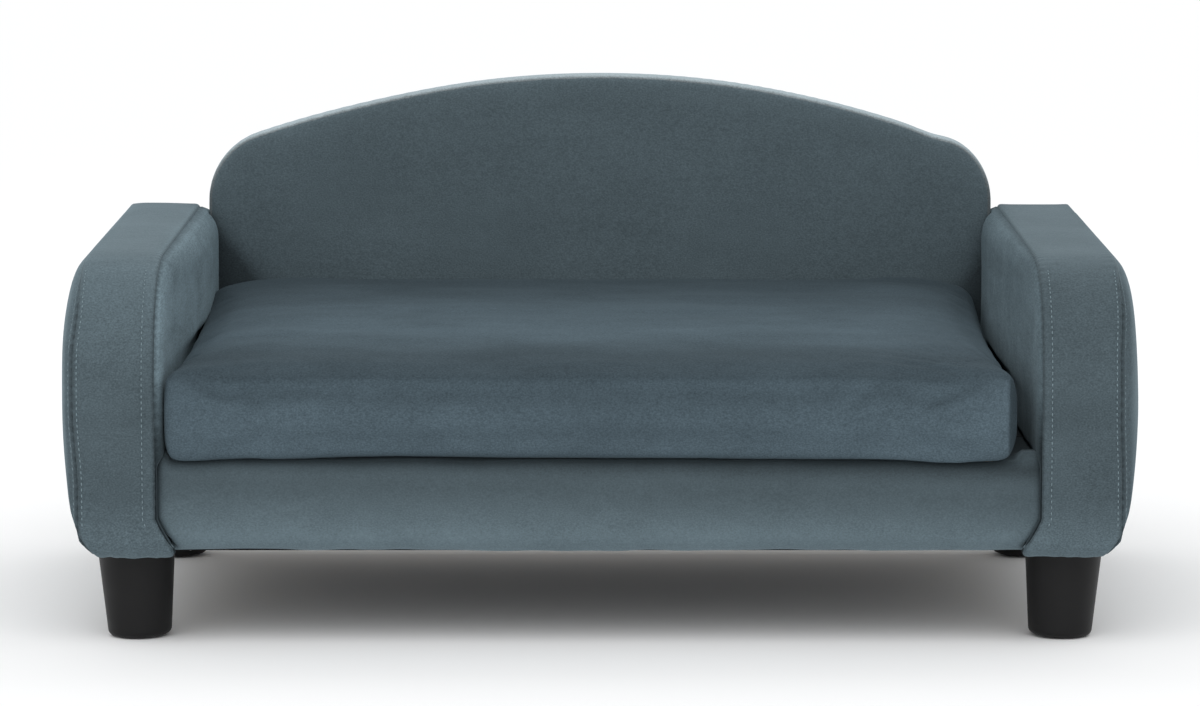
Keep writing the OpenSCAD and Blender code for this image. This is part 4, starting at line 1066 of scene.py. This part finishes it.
# %% The back
RIDGE_STEPS = 900
SHOULDER_DROP = 92 * MM
BACK_FRONT_SEAM = back_low[1] - SEAM
BACK_REAR_SEAM = back_high[1] + SEAM
outline = back_profile()
half = back_high[0]
shoulder_x = half - SHOULDER * 0.28
shoulder_z = outline[:, 1].max() - SHOULDER_DROP + SHOULDER * 0.55
back_marks = [
    closest_index(outline, (-half + BACK_FOOT * 0.3, back_low[2] + BACK_FOOT * 0.3)), 0,
    closest_index(outline, (shoulder_x, shoulder_z)), closest_index(outline, (-shoulder_x, shoulder_z)),
]
inner_outline = back_profile(BACK_SEAM_DEPTH)
back_grid = grid_on(inner_outline, back_marks, *BACK_GRID)
back_gap, back_place = nearest_on(inner_outline, back_grid)


def back_panel(name, seam, turn, crown, reach, seed):
    """A panel of the back that swells away from its seam, forwards or backwards by turn."""
    height = groove(back_gap) * 0.8 + crown * quarter(back_gap, reach)
    height += easing(back_gap, back_place, seed, depth=0.25 * MM)
    height += 0.5 * MM * ripple(back_grid, 160 * MM, seed) * smooth_step(back_gap / (40 * MM))
    y = seam + turn * height
    placed = np.stack([back_grid[..., 0], y, back_grid[..., 1]], axis=-1)
    return puffed_piece(name, back_grid, placed, np.array([0, -turn * 2 * MM, 0]))


back_front = back_panel("back_front_velvet", BACK_FRONT_SEAM, turn=-1, crown=4.0 * MM,
                        reach=22 * MM, seed=71)
back_rear = back_panel("back_rear_velvet", BACK_REAR_SEAM, turn=1, crown=3.0 * MM,
                       reach=26 * MM, seed=73)

ridge_s, ridge, ridge_out = closed_path(outline, RIDGE_STEPS)


def back_band_surface(across):
    """Points of the back's band for each step of its ridge and each share across it."""
    depth = BACK_REAR_SEAM - BACK_FRONT_SEAM
    gap_front = depth * across[None]
    nearest = np.minimum(gap_front, depth - gap_front)
    near = np.clip(1 - nearest / (2.6 * MM), 0, 1)
    height = 2.2 * MM * (np.sqrt(1 - near ** 2) - 1) + 0.9 * MM * (1 - np.exp(-nearest / (7 * MM)))
    height = height + easing(nearest, ridge_s[:, None], 75, depth=0.22 * MM)
    y = np.broadcast_to(BACK_FRONT_SEAM + gap_front, height.shape)
    x = ridge[:, :1] + ridge_out[:, :1] * height
    z = ridge[:, 1:] + ridge_out[:, 1:] * height
    return np.stack([x, y, z], axis=-1)


ridge_top = back_band_surface(crowded(26, 0.7))
ridge_under = back_band_surface(np.linspace(0, 1, 6))
ridge_under[..., 0] -= ridge_out[:, None, 0] * 3 * MM
ridge_under[..., 2] -= ridge_out[:, None, 1] * 3 * MM
back_band_piece = closed_strip("back_band_velvet", ridge_top, ridge_under, ridge_s)
print("back quads:", len(back_front.data.polygons), len(back_band_piece.data.polygons))

# %% [markdown]
# The front of the seat base is one piece of velvet: from under the front rail, up over the foam
# and back onto the deck. Its two ends are squeezed between the arms, so they round off, and
# the loose top edge waves a little beside the cushion that presses on it.

# %% Velvet of the seat base
COVER = 1.5 * MM
EDGE = 12 * MM
base_front, base_foot = base_low[1], base_low[2]
HEM_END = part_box("front_rail")[0][1] + 14 * MM
CUSHION_ENDS = [-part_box("cushion_cover")[0][0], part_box("cushion_cover")[1][0]]
COVER_END = base_high[1]


def base_section():
    """The cover's outer section, as [y, z], from the hem under the rail to its end on the deck."""
    return np.concatenate([
        [[HEM_END, base_foot]],
        arc(base_front + EDGE, base_foot + EDGE, EDGE, 270, 180, 16),
        arc(base_front + EDGE, SEAT - EDGE, EDGE, 180, 90, 16),
        [[COVER_END, SEAT]],
    ])


section = base_section()
section_length = length_along(section)[-1]
front_run = length_along(section)[33]
section_s = np.concatenate([
    np.linspace(0, front_run + 12 * MM, 74), np.linspace(front_run + 14 * MM, section_length, 26)])
section_points = resample(section, section_s)
section_turn = np.gradient(section_points, axis=0)
section_turn /= np.linalg.norm(section_turn, axis=1)[:, None]
section_out = np.stack([-section_turn[:, 1], section_turn[:, 0]], axis=1)
base_share = crowded(260, 0.55) * 2 - 1


def base_surface(thickness):
    """Points of the base's cover, drawn in by a thickness for its underside."""
    y = section_points[None, :, 0]
    z = section_points[None, :, 1]
    # the cover's ends stop at the arms: straight above, drawn in over the arms' lower corners
    end = BASE_END + 0.2 * MM - flap(y, z) * 1.05
    x = base_share[:, None] * end
    end_gap = end - np.abs(x)
    on_front = smooth_step((base_front + 26 * MM - y) / (20 * MM))
    belly = np.sin(np.pi * np.clip((z - base_foot) / (SEAT - base_foot), 0, 1))
    where = np.stack(np.broadcast_arrays(x, y, z), axis=-1)
    swelling = 2.2 * MM * belly + 0.6 * MM * ripple(where, 150 * MM, 81)
    swelling += 0.35 * MM * ripple(where, 38 * MM, 82)
    round_off = 5 * MM * (1 - quarter(end_gap, 7 * MM))
    height = (swelling - round_off) * on_front - thickness
    near_top = smooth_step((z - SEAT + 16 * MM) / (16 * MM)) * on_front
    lift = -0.9 * MM * near_top * (1 + 0.5 * ripple(where[..., :1], 90 * MM, 83))
    lift = lift * smooth_step(end_gap / (40 * MM))
    # nothing presses on it between the cushion's ends and the arms, so there it swells up
    beside = np.where(x < 0, *CUSHION_ENDS)
    lift = lift + 6.0 * MM * smooth_step((np.abs(x) - beside) / (7 * MM)) \
        * smooth_step((z - SEAT + 16 * MM) / (16 * MM)) * smooth_step((-0.19 - y) / 0.03)
    px = np.broadcast_to(x, height.shape)
    py = y + section_out[None, :, 0] * height
    pz = z + section_out[None, :, 1] * height + lift
    return np.stack([px, py, pz], axis=-1)


base_piece = closed_strip("seat_base_velvet", base_surface(0.0), base_surface(COVER), base_share,
                          looped=False)
print("base quads:", len(base_piece.data.polygons))

# %% [markdown]
# The cushion is the piece that carries the sofa's character: a foam block in a velvet case that is
# a little too large for it. Its crowned form is drawn first as a closed shell of rings. Then the
# shell is remeshed into even small faces and blown up a little by the cloth solver, with
# slightly more cloth than the shell needs, so it buckles near the corners as the real case does.
# Each point may move only a few millimetres, so the cushion keeps its place and its flat underside.

# %% The cushion's shell
case_low, case_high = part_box("cushion_cover")
CASE_FRONT, CASE_REAR = case_low[1], case_high[1]
CASE_FOOT = case_low[2]
LOWER_R, UPPER_R = 6.5 * MM, 9 * MM
FRONT_R, REAR_R = 7.5 * MM, 40 * MM
SIDE_BULGE = 1.4 * MM
case_left, case_right = case_low[0] - 4.2 * MM, case_high[0] - 0.2 * MM
CASE_DEPTH = CASE_REAR - CASE_FRONT
PLAN_STEPS = 440
DEPTH_SHARES = (0.0, 0.04, 0.10, 0.20, 0.35, 0.55, 0.75, 0.90, 1.0)
RIDGE = (65.5, 68.0, 72.0, 76.0, 80.0, 83.5, 86.0, 87.5, 86.0)
SIDE = (65.0, 65.0, 65.5, 66.0, 65.5, 67.0, 71.5, 77.5, 80.0)


def case_outline(inset):
    """Plan of the cushion, as [x, y], with the rear corners drawn in more than the front ones."""
    x0, x1 = case_left + inset, case_right - inset
    y0, y1 = CASE_FRONT + inset, CASE_REAR - inset
    rf, rr = corner_radius(FRONT_R, inset), corner_radius(REAR_R, inset)
    plan = np.concatenate([
        arc(x1 - rf, y0 + rf, rf, -90, 0, 10), arc(x1 - rr, y1 - rr, rr, 0, 90, 16),
        arc(x0 + rr, y1 - rr, rr, 90, 180, 16), arc(x0 + rf, y0 + rf, rf, 180, 270, 10)])
    plan = evenly(closed_ring(plan), PLAN_STEPS)
    middle = np.array([(x0 + x1) / 2, (y0 + y1) / 2])
    size = np.array([x1 - x0, y1 - y0]) / 2
    across, along = ((plan - middle) / size).T
    # sides pulled in between the corners, and both ends drawn in towards the rear
    pull_x = -np.sign(across) * 3.0 * MM * np.abs(across) ** 6 * (1 - along ** 2)
    pull_x -= 3.0 * MM * np.clip(across, 0, 1) ** 3 * np.clip(along, 0, 1) ** 2
    pull_x += 4.0 * MM * np.clip(-across, 0, 1) ** 3 * np.clip(along, 0, 1) ** 2
    pull_y = np.where(along > 0, -3.0, 0.8) * MM * np.abs(along) ** 6 * (1 - across ** 2)
    return plan + np.stack([pull_x, pull_y], axis=1)


def case_top(x, y):
    """Height of the case's top over its foot: a ridge across the middle that falls to both sides."""
    depth = np.clip((y - CASE_FRONT) / CASE_DEPTH, 0, 1)
    ridge_height = np.interp(depth, DEPTH_SHARES, RIDGE) * MM
    side_height = np.interp(depth, DEPTH_SHARES, SIDE) * MM
    side_gap = np.minimum(x - case_left, case_right - x)
    fullness = 1 - (1 - np.clip(side_gap / (95 * MM), 0, 1)) ** 2.4
    return side_height + (ridge_height - side_height) * fullness


def case_rings():
    """The rings of the case from the middle of its foot to the middle of its top. Each is an
    inset from the outline, a height over the foot, and how far it hangs on the top's height."""
    # the flat foot and its rounded edge
    rings = [(inset, 0.0, 0.0) for inset in np.linspace(200, 8, 24) * MM]
    for a in np.radians(np.linspace(90, 0, 7)):
        rings.append((LOWER_R - LOWER_R * math.cos(a), LOWER_R - LOWER_R * math.sin(a), 0.0))
    # the boxed side, which bulges a little
    for t in np.linspace(0.1, 1.0, 9):
        rings.append((-SIDE_BULGE * math.sin(math.pi * t), LOWER_R - t * (LOWER_R + UPPER_R), t))
    # the rounded upper edge and the crowned top
    for a in np.radians(np.linspace(12, 84, 8)):
        rings.append((UPPER_R - UPPER_R * math.cos(a), -UPPER_R * (1 - math.sin(a)), 1.0))
    for share in np.linspace(0.0, 1, 34):
        rings.append((UPPER_R + share * 190 * MM, 0.0, 1.0))
    return rings


def case_shell():
    """The case as a closed mesh of rings."""
    verts, faces = [], []
    middle = np.array([(case_left + case_right) / 2, (CASE_FRONT + CASE_REAR) / 2])
    for inset, height, share in case_rings():
        plan = case_outline(max(inset, 0.0))
        if inset < 0:
            away = plan - middle
            plan = plan - away / np.linalg.norm(away, axis=1)[:, None] * inset
        z = CASE_FOOT + height + share * case_top(plan[:, 0], plan[:, 1])
        verts.append(np.stack([plan[:, 0], plan[:, 1], z], axis=1))
    count = len(verts[0])
    for i in range(len(verts) - 1):
        for j in range(count):
            k = (j + 1) % count
            faces.append([i * count + j, i * count + k, (i + 1) * count + k, (i + 1) * count + j])
    faces.append(list(range(count))[::-1])
    faces.append([(len(verts) - 1) * count + j for j in range(count)])
    return outward(link_mesh("cushion_velvet", np.concatenate(verts), faces))


cushion = case_shell()
print("cushion shell:", len(cushion.data.polygons), "faces")

# %% Blow the cushion up


def apply_modifiers(piece):
    """The evaluated piece as a plain mesh, with no modifier left."""
    bpy.context.view_layer.update()
    result = bpy.data.meshes.new_from_object(piece.evaluated_get(bpy.context.evaluated_depsgraph_get()))
    piece.modifiers.clear()
    piece.data = result
    return piece


def remeshed(piece, voxel):
    """The piece with its surface cut into even small quads."""
    remesh = piece.modifiers.new("remesh", "REMESH")
    remesh.mode = "VOXEL"
    remesh.voxel_size = voxel
    return apply_modifiers(piece)


def vertices_of(piece):
    values = np.empty(len(piece.data.vertices) * 3, dtype=np.float32)
    piece.data.vertices.foreach_get("co", values)
    return values.reshape(-1, 3).astype(float)


def set_vertices(piece, values):
    piece.data.vertices.foreach_set("co", values.astype(np.float32).ravel())
    piece.data.update()


def blown_up(piece, pressure, frames, cap, slack):
    """Runs the cloth solver on a closed piece and limits how far each point moves."""
    before = vertices_of(piece)
    cloth = piece.modifiers.new("cloth", "CLOTH")
    setting = cloth.settings
    setting.quality = 5
    setting.mass = 0.25
    setting.tension_stiffness = setting.compression_stiffness = 20
    setting.shear_stiffness = 8
    setting.bending_stiffness = 1.2
    setting.use_pressure = True
    setting.uniform_pressure_force = pressure
    setting.shrink_min = -slack
    setting.effector_weights.gravity = 0
    cloth.collision_settings.use_collision = False
    scene = bpy.context.scene
    cloth.point_cache.frame_start, cloth.point_cache.frame_end = 1, frames
    for number in range(1, frames + 1):
        scene.frame_set(number)
    apply_modifiers(piece)
    scene.frame_set(1)
    moved = vertices_of(piece) - before
    far = np.linalg.norm(moved, axis=1)
    limited = cap * np.tanh(far / cap)
    moved *= (limited / np.maximum(far, 1e-9))[:, None]
    set_vertices(piece, before + moved)
    print(piece.name, "moved at most", round(float(far.max()) / MM, 1), "mm, kept",
          round(float(limited.max()) / MM, 1))
    return piece


remeshed(cushion, 4 * MM)
blown_up(cushion, pressure=4.0, frames=18, cap=3.2 * MM, slack=0.006)

# %% [markdown]
# The blown-up case is then fitted to its place. Its lower front edge lies down at the left,
# stands off the deck in the middle and hangs over it at the right. At the right front corner the
# case's seam stands out as an upright ridge, and pull lines fan out over the top from there. The
# zip lies in a slot along the rear.

# %% Seat the cushion
# heights of the lower front edge, in millimetres, at places along X
EDGE_AT = (-0.322, -0.317, -0.302, -0.277, -0.244, -0.19, -0.15, -0.07, 0.08, 0.19, 0.226, 0.25,
           0.268, 0.285, 0.302, 0.31)
EDGE_LIFT = (0.2, -0.8, -2.2, -0.6, -0.8, 2.0, 2.8, 1.2, 0.7, -1.6, -4.4, -8.6, -8.8, -3.4, 1.0, 3.0)
SEAM_RIDGE_X = 301.5 * MM
# the run of the slot beyond the zip's left end, and how far the slot's sides slope
TAB_ROOM, LIP = 14.2 * MM, 1.2 * MM


def seated(points):
    """The points kept in the cushion's place, with its lower front edge waved."""
    x, y, z = points.T
    near_foot = np.clip((CASE_FOOT + 26 * MM - z) / (26 * MM), 0, 1)
    front = smooth_step((CASE_FRONT + 60 * MM - y) / (60 * MM))
    overhang = smooth_step((CASE_FRONT + 14 * MM - y) / (14 * MM))
    wave = np.interp(x, EDGE_AT, EDGE_LIFT) * MM
    lift = np.maximum(wave, 0) * front + np.minimum(wave, 0) * overhang
    z = np.maximum(z, CASE_FOOT) + near_foot * lift
    x = np.clip(x, case_left - 1.0 * MM, case_right + 1.5 * MM)
    y = np.clip(y, CASE_FRONT - 2.5 * MM, CASE_REAR + 1.0 * MM)
    return np.stack([x, y, z], axis=1)


def ridge_at_corner(points):
    """Moves the points in Y for the upright ridge at the right front corner."""
    beyond = np.clip((points[:, 0] - SEAM_RIDGE_X - 1 * MM) / (6 * MM), 0, 1)
    by_front = smooth_step((CASE_FRONT + 16 * MM - points[:, 1]) / (16 * MM))
    points[:, 1] += by_front * 8 * MM * beyond
    points[:, 1] -= by_front * 0.9 * MM * np.exp(-((points[:, 0] - SEAM_RIDGE_X) / (2 * MM)) ** 2)


def pull_lines(points):
    """Height of the pull lines that fan out from the right front corner."""
    from_corner = points[:, :2] - np.array([SEAM_RIDGE_X + 3.5 * MM, CASE_FRONT])
    reach = np.hypot(from_corner[:, 0], from_corner[:, 1])
    bearing = np.arctan2(-from_corner[:, 0], from_corner[:, 1])
    pulled = smooth_step((150 * MM - reach) / (80 * MM)) * smooth_step((reach - 25 * MM) / (20 * MM))
    return pulled * 0.5 * MM * np.sin(38 * bearing)


def slot_for_zip(points):
    """Presses the rear in where the zip lies, with room for its tab at the left end."""
    tape_low, tape_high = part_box("zip_tapes")
    floor_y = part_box("zip_slider")[0][1] - 0.4 * MM
    middle = (tape_low[2] + tape_high[2]) / 2
    half_height = (tape_high[2] - tape_low[2]) / 2 + 0.5 * MM
    in_slot = smooth_step((half_height + LIP - np.abs(points[:, 2] - middle)) / (2 * LIP))
    in_slot *= smooth_step((points[:, 0] - tape_low[0] + TAB_ROOM + LIP) / (2 * LIP))
    in_slot *= smooth_step((tape_high[0] + LIP - points[:, 0]) / (2 * LIP)) * (points[:, 1] > floor_y)
    points[:, 1] += in_slot * (floor_y - points[:, 1])


set_vertices(cushion, seated(vertices_of(cushion)))
finer = cushion.modifiers.new("finer", "SUBSURF")
finer.levels = finer.render_levels = 1
apply_modifiers(cushion)
shape = vertices_of(cushion)
on_top = smooth_step((shape[:, 2] - CASE_FOOT - 40 * MM) / (20 * MM))
shape[:, 2] += on_top * 0.5 * MM * ripple(shape[:, :2] * np.array([0.5, 1.0]), 55 * MM, 91)
ridge_at_corner(shape)
shape[:, 2] += on_top * pull_lines(shape)
slot_for_zip(shape)
set_vertices(cushion, shape)
cushion.data.shade_smooth()
print("cushion:", len(cushion.data.polygons), "quads")

# %% [markdown]
# Topstitching repeats hundreds of times, so Geometry Nodes lay it: a row of stitches is a curve,
# resampled to one point per stitch, with a small thread capsule on each point turned along the
# curve. One tree serves every row; each row only brings its own line and its own sizes.

# %% The stitch tree


def curve_tree(name, sizes):
    """A tree with an input for the line, one for each named size and one for the material."""
    tree = bpy.data.node_groups.new(name, "GeometryNodeTree")
    tree.interface.new_socket("Geometry", in_out="INPUT", socket_type="NodeSocketGeometry")
    for label in sizes:
        tree.interface.new_socket(label, in_out="INPUT", socket_type="NodeSocketFloat")
    tree.interface.new_socket("Material", in_out="INPUT", socket_type="NodeSocketMaterial")
    tree.interface.new_socket("Geometry", in_out="OUTPUT", socket_type="NodeSocketGeometry")
    return tree, tree.nodes.new("NodeGroupInput"), tree.nodes.new("NodeGroupOutput")


def add(tree, kind, links, **settings):
    node = tree.nodes.new(kind)
    for key, value in settings.items():
        setattr(node, key, value)
    for label, source in links:
        if isinstance(source, (int, float, tuple)):
            node.inputs[label].default_value = source
        else:
            tree.links.new(source, node.inputs[label])
    return node


def row_along_curve(tree, source, target, shape_geometry, size):
    """Instances a shape at every pitch along the incoming line, turned along it.
    size holds its size along the line and its two sizes across it."""
    line = add(tree, "GeometryNodeMeshToCurve", [("Mesh", source.outputs["Geometry"])])
    points = add(tree, "GeometryNodeResampleCurve", [
        ("Curve", line.outputs[0]), ("Length", source.outputs["Pitch"])], mode="LENGTH")
    tangent = tree.nodes.new("GeometryNodeInputTangent")
    turn = add(tree, "FunctionNodeAlignRotationToVector", [("Vector", tangent.outputs[0])], axis="X")
    scale = add(tree, "ShaderNodeCombineXYZ", list(enumerate(size)))
    placed = add(tree, "GeometryNodeInstanceOnPoints", [
        ("Points", points.outputs[0]), ("Instance", shape_geometry), ("Rotation", turn.outputs[0]),
        ("Scale", scale.outputs[0])])
    real = add(tree, "GeometryNodeRealizeInstances", [("Geometry", placed.outputs[0])])
    finish = add(tree, "GeometryNodeSetMaterial", [
        ("Geometry", real.outputs[0]), ("Material", source.outputs["Material"])])
    smooth = add(tree, "GeometryNodeSetShadeSmooth", [("Geometry", finish.outputs[0])])
    tree.links.new(smooth.outputs[0], target.inputs["Geometry"])


stitch_tree, stitch_in, stitch_out = curve_tree("stitch_row", ("Pitch", "Stitch", "Thread"))
capsule = add(stitch_tree, "GeometryNodeMeshUVSphere", [("Segments", 6), ("Rings", 5), ("Radius", 1.0)])
half_stitch = add(stitch_tree, "ShaderNodeMath", [(0, stitch_in.outputs["Stitch"]), (1, 0.5)],
                  operation="MULTIPLY")
thread_size = stitch_in.outputs["Thread"]
row_along_curve(stitch_tree, stitch_in, stitch_out, capsule.outputs[0],
                (half_stitch.outputs[0], thread_size, thread_size))


def polyline(name, points, closed):
    """A mesh of edges only, through the points."""
    count = len(points)
    mesh = bpy.data.meshes.new(name)
    edges = [(i, i + 1) for i in range(count - 1)] + ([(count - 1, 0)] if closed else [])
    mesh.from_pydata([tuple(p) for p in points], edges, [])
    piece = bpy.data.objects.new(name, mesh)
    bpy.context.collection.objects.link(piece)
    return piece


def run_tree(piece, tree, values):
    """Puts a tree on a piece, sets its named inputs, and leaves the result as a plain mesh."""
    nodes = piece.modifiers.new(tree.name, "NODES")
    nodes.node_group = tree
    for item in tree.interface.items_tree:
        if item.item_type == "SOCKET" and item.in_out == "INPUT" and item.name in values:
            nodes[item.identifier] = values[item.name]
    apply_modifiers(piece)
    piece.data.update()
    return piece


def joined(name, pieces):
    """One mesh object from several."""
    work = bmesh.new()
    for piece in pieces:
        work.from_mesh(piece.data)
    result = bpy.data.meshes.new(name)
    work.to_mesh(result)
    work.free()
    for material in pieces[0].data.materials:
        result.materials.append(material)
    result.shade_smooth()
    whole = bpy.data.objects.new(name, result)
    bpy.context.collection.objects.link(whole)
    for piece in pieces:
        bpy.data.objects.remove(piece, do_unlink=True)
    return whole


# %% Rows of stitches on the arms
THREAD_LIFT = 0.15 * MM
STITCH_PITCH, STITCH, THREAD = 4.3 * MM, 2.6 * MM, 0.42 * MM


def band_stitch_line(side, gap, from_outer):
    """Where a row of topstitches lies on a band, at a gap from one of its seams."""
    inner, width = band_edges(side)
    inner_gap = width - gap if from_outer else np.full_like(width, gap)
    x = inner + inner_gap
    where = np.stack([x * side, path[:, 0], path[:, 1]], axis=-1)
    height = band_height(side, inner_gap, width - inner_gap, path_s, where) + THREAD_LIFT
    where[:, 1:] += height[:, None] * path_out
    return where


def outer_stitch_line(side):
    """Where the topstitches lie on an arm's outer panel."""
    ring = evenly(closed_ring(arm_profile(SEAM_DEPTH + OUTER_STITCH)), PATH_STEPS)
    y, z = ring.T
    height = outer_height(side, np.full(len(ring), OUTER_STITCH), y, z) - STITCH_DIP + THREAD_LIFT
    x = side * (outer_seam(side, z) + held_in(side, height, z))
    return np.stack([x, y, z], axis=-1)


def stitched_run(line):
    """The stretch of a line round an arm that is topstitched."""
    return line[stitched(line[:, 1], line[:, 2]) > 0.5]


stitch_pieces = {}
for side, word in SIDES.items():
    rows = [
        band_stitch_line(side, INNER_TOPSTITCH[side], False),
        band_stitch_line(side, OUTER_TOPSTITCH, True),
        outer_stitch_line(side),
    ]
    made = [
        run_tree(polyline(f"row_{i}", stitched_run(line), False), stitch_tree, {
            "Pitch": STITCH_PITCH, "Stitch": STITCH, "Thread": THREAD, "Material": thread})
        for i, line in enumerate(rows)
    ]
    stitch_pieces[word] = joined(f"{word}_arm_topstitching", made)
print("stitches per arm:", len(stitch_pieces["left"].data.polygons) // 30)

# %% [markdown]
# Underneath, a black non-woven cloth closes the base. It is stapled to the rails and hangs a hair
# lower in the middle. The staples are a second tree on the same pattern as the stitches.

# %% Dust cover and staples
dust_low, dust_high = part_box("dust_cover")


def sagging_cloth(name, low, high, sag, z):
    """A thin closed sheet, held at its edge, that hangs down a little in the middle."""
    u = np.linspace(0, 1, 61)
    x = low[0] + (high[0] - low[0]) * u
    y = low[1] + (high[1] - low[1]) * u
    xx, yy = np.meshgrid(x, y, indexing="ij")
    drop = sag * (np.sin(np.pi * u)[:, None] * np.sin(np.pi * u)[None]) ** 0.6
    drop = drop + 0.25 * MM * ripple(np.stack([xx, yy], axis=-1), 50 * MM, 97)
    edge = np.minimum(np.minimum(u, 1 - u)[:, None], np.minimum(u, 1 - u)[None])
    drop = drop * smooth_step(edge * 12)
    top = np.stack([xx, yy, z - drop], axis=-1)
    under = top - np.array([0, 0, 0.5 * MM])
    return closed_strip(name, top, under, x, looped=False)


dust_piece = sagging_cloth("dust_cloth", dust_low, dust_high, 2.0 * MM, dust_high[2] - 0.1 * MM)
dust_piece.data.materials.append(black_cloth)

STAPLE_PITCH, STAPLE_CROWN, STAPLE_WIRE = 38 * MM, 10 * MM, 0.7 * MM
staple_tree, staple_in, staple_out = curve_tree("staple_row", ("Pitch", "Crown", "Wire"))
wire = add(staple_tree, "GeometryNodeMeshCube", [("Size", (1.0, 1.0, 1.0))])
wire_size = staple_in.outputs["Wire"]
row_along_curve(staple_tree, staple_in, staple_out, wire.outputs[0],
                (staple_in.outputs["Crown"], wire_size, wire_size))
margin = 6 * MM
staple_corners = [
    (dust_low[0] + margin, dust_low[1] + margin), (dust_high[0] - margin, dust_low[1] + margin),
    (dust_high[0] - margin, dust_high[1] - margin), (dust_low[0] + margin, dust_high[1] - margin)]
staple_line = [(px, py, dust_high[2] - 0.75 * MM) for px, py in staple_corners]
staples = run_tree(polyline("dust_cloth_staples", staple_line, True), staple_tree, {
    "Pitch": STAPLE_PITCH, "Crown": STAPLE_CROWN, "Wire": STAPLE_WIRE, "Material": zinc})
print("staples:", len(staples.data.polygons) // 6)

# %% Lining of the deck
deck_piece = sagging_cloth("deck_lining_cloth", deck_low, deck_high, 0.0, deck_high[2])
deck_piece.data.materials.append(black_cloth)

# %% [markdown]
# The zip lies in the rear of the cushion's boxed edge. Its teeth are a third row tree: one
# moulded tooth on each step along both halves.

# %% Zip teeth
chain_low, chain_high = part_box("zip_chain")
TOOTH_PITCH, TOOTH = 2.6 * MM, 1.5 * MM
tooth_tree, tooth_in, tooth_out = curve_tree("tooth_row", ("Pitch", "Tooth"))
tooth = add(tooth_tree, "GeometryNodeMeshCube", [("Size", (1.0, 1.0, 1.0))])
row_along_curve(tooth_tree, tooth_in, tooth_out, tooth.outputs[0], [tooth_in.outputs["Tooth"]] * 3)
tooth_y = (chain_low[1] + chain_high[1]) / 2
tooth_rows = []
for tooth_z in (chain_low[2] + 0.8 * MM, chain_high[2] - 0.8 * MM):
    ends = [(chain_low[0] + 1 * MM, tooth_y, tooth_z), (chain_high[0] - 1 * MM, tooth_y, tooth_z)]
    tooth_rows.append(run_tree(polyline("teeth", ends, False), tooth_tree, {
        "Pitch": TOOTH_PITCH, "Tooth": TOOTH, "Material": zip_nylon}))
zip_teeth = joined("zip_teeth", tooth_rows)
print("teeth:", len(zip_teeth.data.polygons) // 6)

# %% [markdown]
# Last comes the bookkeeping: each piece gets its cloth, rides on the body that carries it, and
# stands for the CAD solid that it replaces.

# %% Finishes, bodies and replaced nodes
ARM_PARTS = (("outer_panel", velvet), ("inner_panel", velvet_inside), ("band", velvet))
for word, pieces in arm_pieces.items():
    for piece, (part, cloth) in zip(pieces, ARM_PARTS):
        piece.data.materials.append(cloth)
        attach(piece, "sofa")
        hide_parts(f"{word}_arm_{part}", *([f"{word}_arm_foam"] if part == "inner_panel" else []))
for word, piece in stitch_pieces.items():
    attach(piece, "sofa")
for piece, nodes, cloth in ((back_front, ("back_front_panel", "back_front_foam"), velvet_back),
                            (back_rear, ("back_rear_panel", "back_rear_foam"), velvet_back),
                            (back_band_piece, ("back_band",), velvet_rim_highlighted),
                            (base_piece, ("base_cover", "front_foam"), velvet_base)):
    piece.data.materials.append(cloth)
    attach(piece, "sofa")
    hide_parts(*nodes)
cushion.data.materials.clear()
cushion.data.materials.append(velvet_seat)
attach(cushion, "cushion")
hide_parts("cushion_cover", "cushion_foam")
for piece, node, low, high in ((dust_piece, "dust_cover", dust_low, dust_high),
                               (deck_piece, "deck_lining", deck_low, deck_high)):
    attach(piece, "sofa")
    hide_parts(node)
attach(staples, "sofa")
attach(zip_teeth, "cushion")
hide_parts("zip_chain")

# %% Floor
floor_mesh = bpy.data.meshes.new("floor")
far = 30.0
floor_corners = [(-far, -far, 0), (far, -far, 0), (far, far, 0), (-far, far, 0)]
floor_mesh.from_pydata(floor_corners, [], [(0, 1, 2, 3)])
floor = bpy.data.objects.new("floor", floor_mesh)
bpy.context.collection.objects.link(floor)
pale = bpy.data.materials.new("pale_floor")
pale.use_nodes = True
pale_shader = pale.node_tree.nodes["Principled BSDF"]
pale_shader.inputs["Base Color"].default_value = (0.93, 0.935, 0.94, 1)
pale_shader.inputs["Roughness"].default_value = 0.9
pale_shader.inputs["Specular IOR Level"].default_value = 0.05
floor.data.materials.append(pale)
